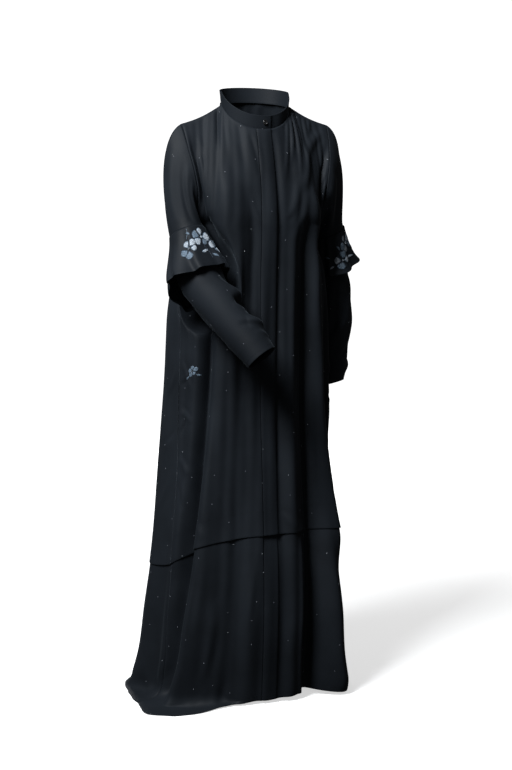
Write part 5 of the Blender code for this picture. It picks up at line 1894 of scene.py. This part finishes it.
class EmbroiderySettings(bpy.types.PropertyGroup):
    """Colours of the embroidery threads"""
    white: FloatVectorProperty(
        name="White", description="Colour of the lightest thread", default=(0.46, 0.52, 0.59), **COLOUR)
    grey_blue: FloatVectorProperty(
        name="Grey-blue", description="Colour of the middle thread", default=(0.15, 0.21, 0.28), **COLOUR)
    slate: FloatVectorProperty(
        name="Slate", description="Colour of the darkest thread", default=(0.035, 0.055, 0.085), **COLOUR)


class StageSettings(bpy.types.PropertyGroup):
    """Light on the stage"""
    key_power: FloatProperty(
        name="Key light", description="Power of the large light at the upper left", default=190.0,
        **POWER)
    rim_power: FloatProperty(
        name="Rim light", description="Power of the light behind the right-hand side", default=45.0,
        **POWER)
    sky: FloatProperty(
        name="Surrounding light", description="Strength of the even white light all round",
        default=0.060, min=0.0)


# Operators
class DRESS_OT_materials(bpy.types.Operator):
    """Make the cloth, thread, stone and horn"""
    bl_idname = "dress.materials"
    bl_label = "Materials"

    def execute(self, context):
        make_crepe(context.scene.dress_cloth.colour)
        make_threads(context.scene.dress_embroidery)
        make_stone_and_horn()
        make_floor_material()
        return {"FINISHED"}


class DRESS_OT_body(bpy.types.Operator):
    """Make the fronts, back, skirt and both halves of the placket"""
    bl_idname = "dress.body"
    bl_label = "Body and skirt"

    def execute(self, context):
        make_panels()
        return {"FINISHED"}


class DRESS_OT_sleeves(bpy.types.Operator):
    """Make the upper and lower sleeves and their flounces"""
    bl_idname = "dress.sleeves"
    bl_label = "Sleeves and flounces"

    def execute(self, context):
        make_sleeve_cloth()
        return {"FINISHED"}


class DRESS_OT_collar(bpy.types.Operator):
    """Make the stand collar"""
    bl_idname = "dress.collar"
    bl_label = "Collar"

    def execute(self, context):
        make_collar_cloth()
        return {"FINISHED"}


class DRESS_OT_button(bpy.types.Operator):
    """Make the horn button of the collar"""
    bl_idname = "dress.button"
    bl_label = "Button"

    def execute(self, context):
        make_collar_button()
        return {"FINISHED"}


class DRESS_OT_embroidery(bpy.types.Operator):
    """Embroider flowers on both flounces and a small blossom on the skirt"""
    bl_idname = "dress.embroidery"
    bl_label = "Embroidery"

    def execute(self, context):
        make_embroidery()
        return {"FINISHED"}


class DRESS_OT_stitching(bpy.types.Operator):
    """Sew stitches along the placket, tuck, pockets, collar, cuffs and hems"""
    bl_idname = "dress.stitching"
    bl_label = "Stitching"

    def execute(self, context):
        make_stitches()
        return {"FINISHED"}


class DRESS_OT_studs(bpy.types.Operator):
    """Scatter tiny crystal studs over the cloth"""
    bl_idname = "dress.studs"
    bl_label = "Crystal studs"

    def execute(self, context):
        make_studs()
        return {"FINISHED"}


class DRESS_OT_stage(bpy.types.Operator):
    """Make the floor, the lights and the camera"""
    bl_idname = "dress.stage"
    bl_label = "Stage"

    def execute(self, context):
        settings = context.scene.dress_stage
        make_backdrop()
        area_light("key", *KEY_LIGHT, settings.key_power)
        area_light("rim", *RIM_LIGHT, settings.rim_power)
        world = bpy.data.worlds.new("Studio")
        world.use_nodes = True
        background = world.node_tree.nodes["Background"]
        background.inputs["Color"].default_value = (1.0, 1.0, 1.0, 1.0)
        background.inputs["Strength"].default_value = settings.sky
        context.scene.world = world
        make_camera()
        context.scene.view_settings.view_transform = "Standard"
        return {"FINISHED"}


class DRESS_PT_panel(bpy.types.Panel):
    """The dress in the sidebar"""
    bl_label = "Crepe Abaya Dress"
    bl_idname = "DRESS_PT_panel"
    bl_space_type = "VIEW_3D"
    bl_region_type = "UI"
    bl_category = "Dress"

    def draw(self, context):
        layout = self.layout
        for name, pointer in SETTINGS:
            box = layout.box()
            group = getattr(context.scene, name)
            for item in pointer.__annotations__:
                box.prop(group, item)
        for operator in OPERATORS:
            layout.operator(operator.bl_idname)


SETTINGS = (
    ("dress_cloth", ClothSettings),
    ("dress_studs", StudSettings),
    ("dress_stitches", StitchSettings),
    ("dress_embroidery", EmbroiderySettings),
    ("dress_stage", StageSettings),
)
OPERATORS = (
    DRESS_OT_materials,
    DRESS_OT_body,
    DRESS_OT_sleeves,
    DRESS_OT_collar,
    DRESS_OT_button,
    DRESS_OT_embroidery,
    DRESS_OT_stitching,
    DRESS_OT_studs,
    DRESS_OT_stage,
)


def register():
    for name, group in SETTINGS:
        bpy.utils.register_class(group)
        setattr(bpy.types.Scene, name, PointerProperty(type=group))
    for operator in OPERATORS:
        bpy.utils.register_class(operator)
    bpy.utils.register_class(DRESS_PT_panel)


def unregister():
    bpy.utils.unregister_class(DRESS_PT_panel)
    for operator in reversed(OPERATORS):
        bpy.utils.unregister_class(operator)
    for name, group in reversed(SETTINGS):
        delattr(bpy.types.Scene, name)
        bpy.utils.unregister_class(group)


def main():
    register()
    bpy.ops.dress.materials()
    bpy.ops.dress.body()
    bpy.ops.dress.sleeves()
    bpy.ops.dress.collar()
    bpy.ops.dress.button()
    bpy.ops.dress.embroidery()
    bpy.ops.dress.stitching()
    bpy.ops.dress.studs()
    bpy.ops.dress.stage()


if __name__ == "__main__":
    main()
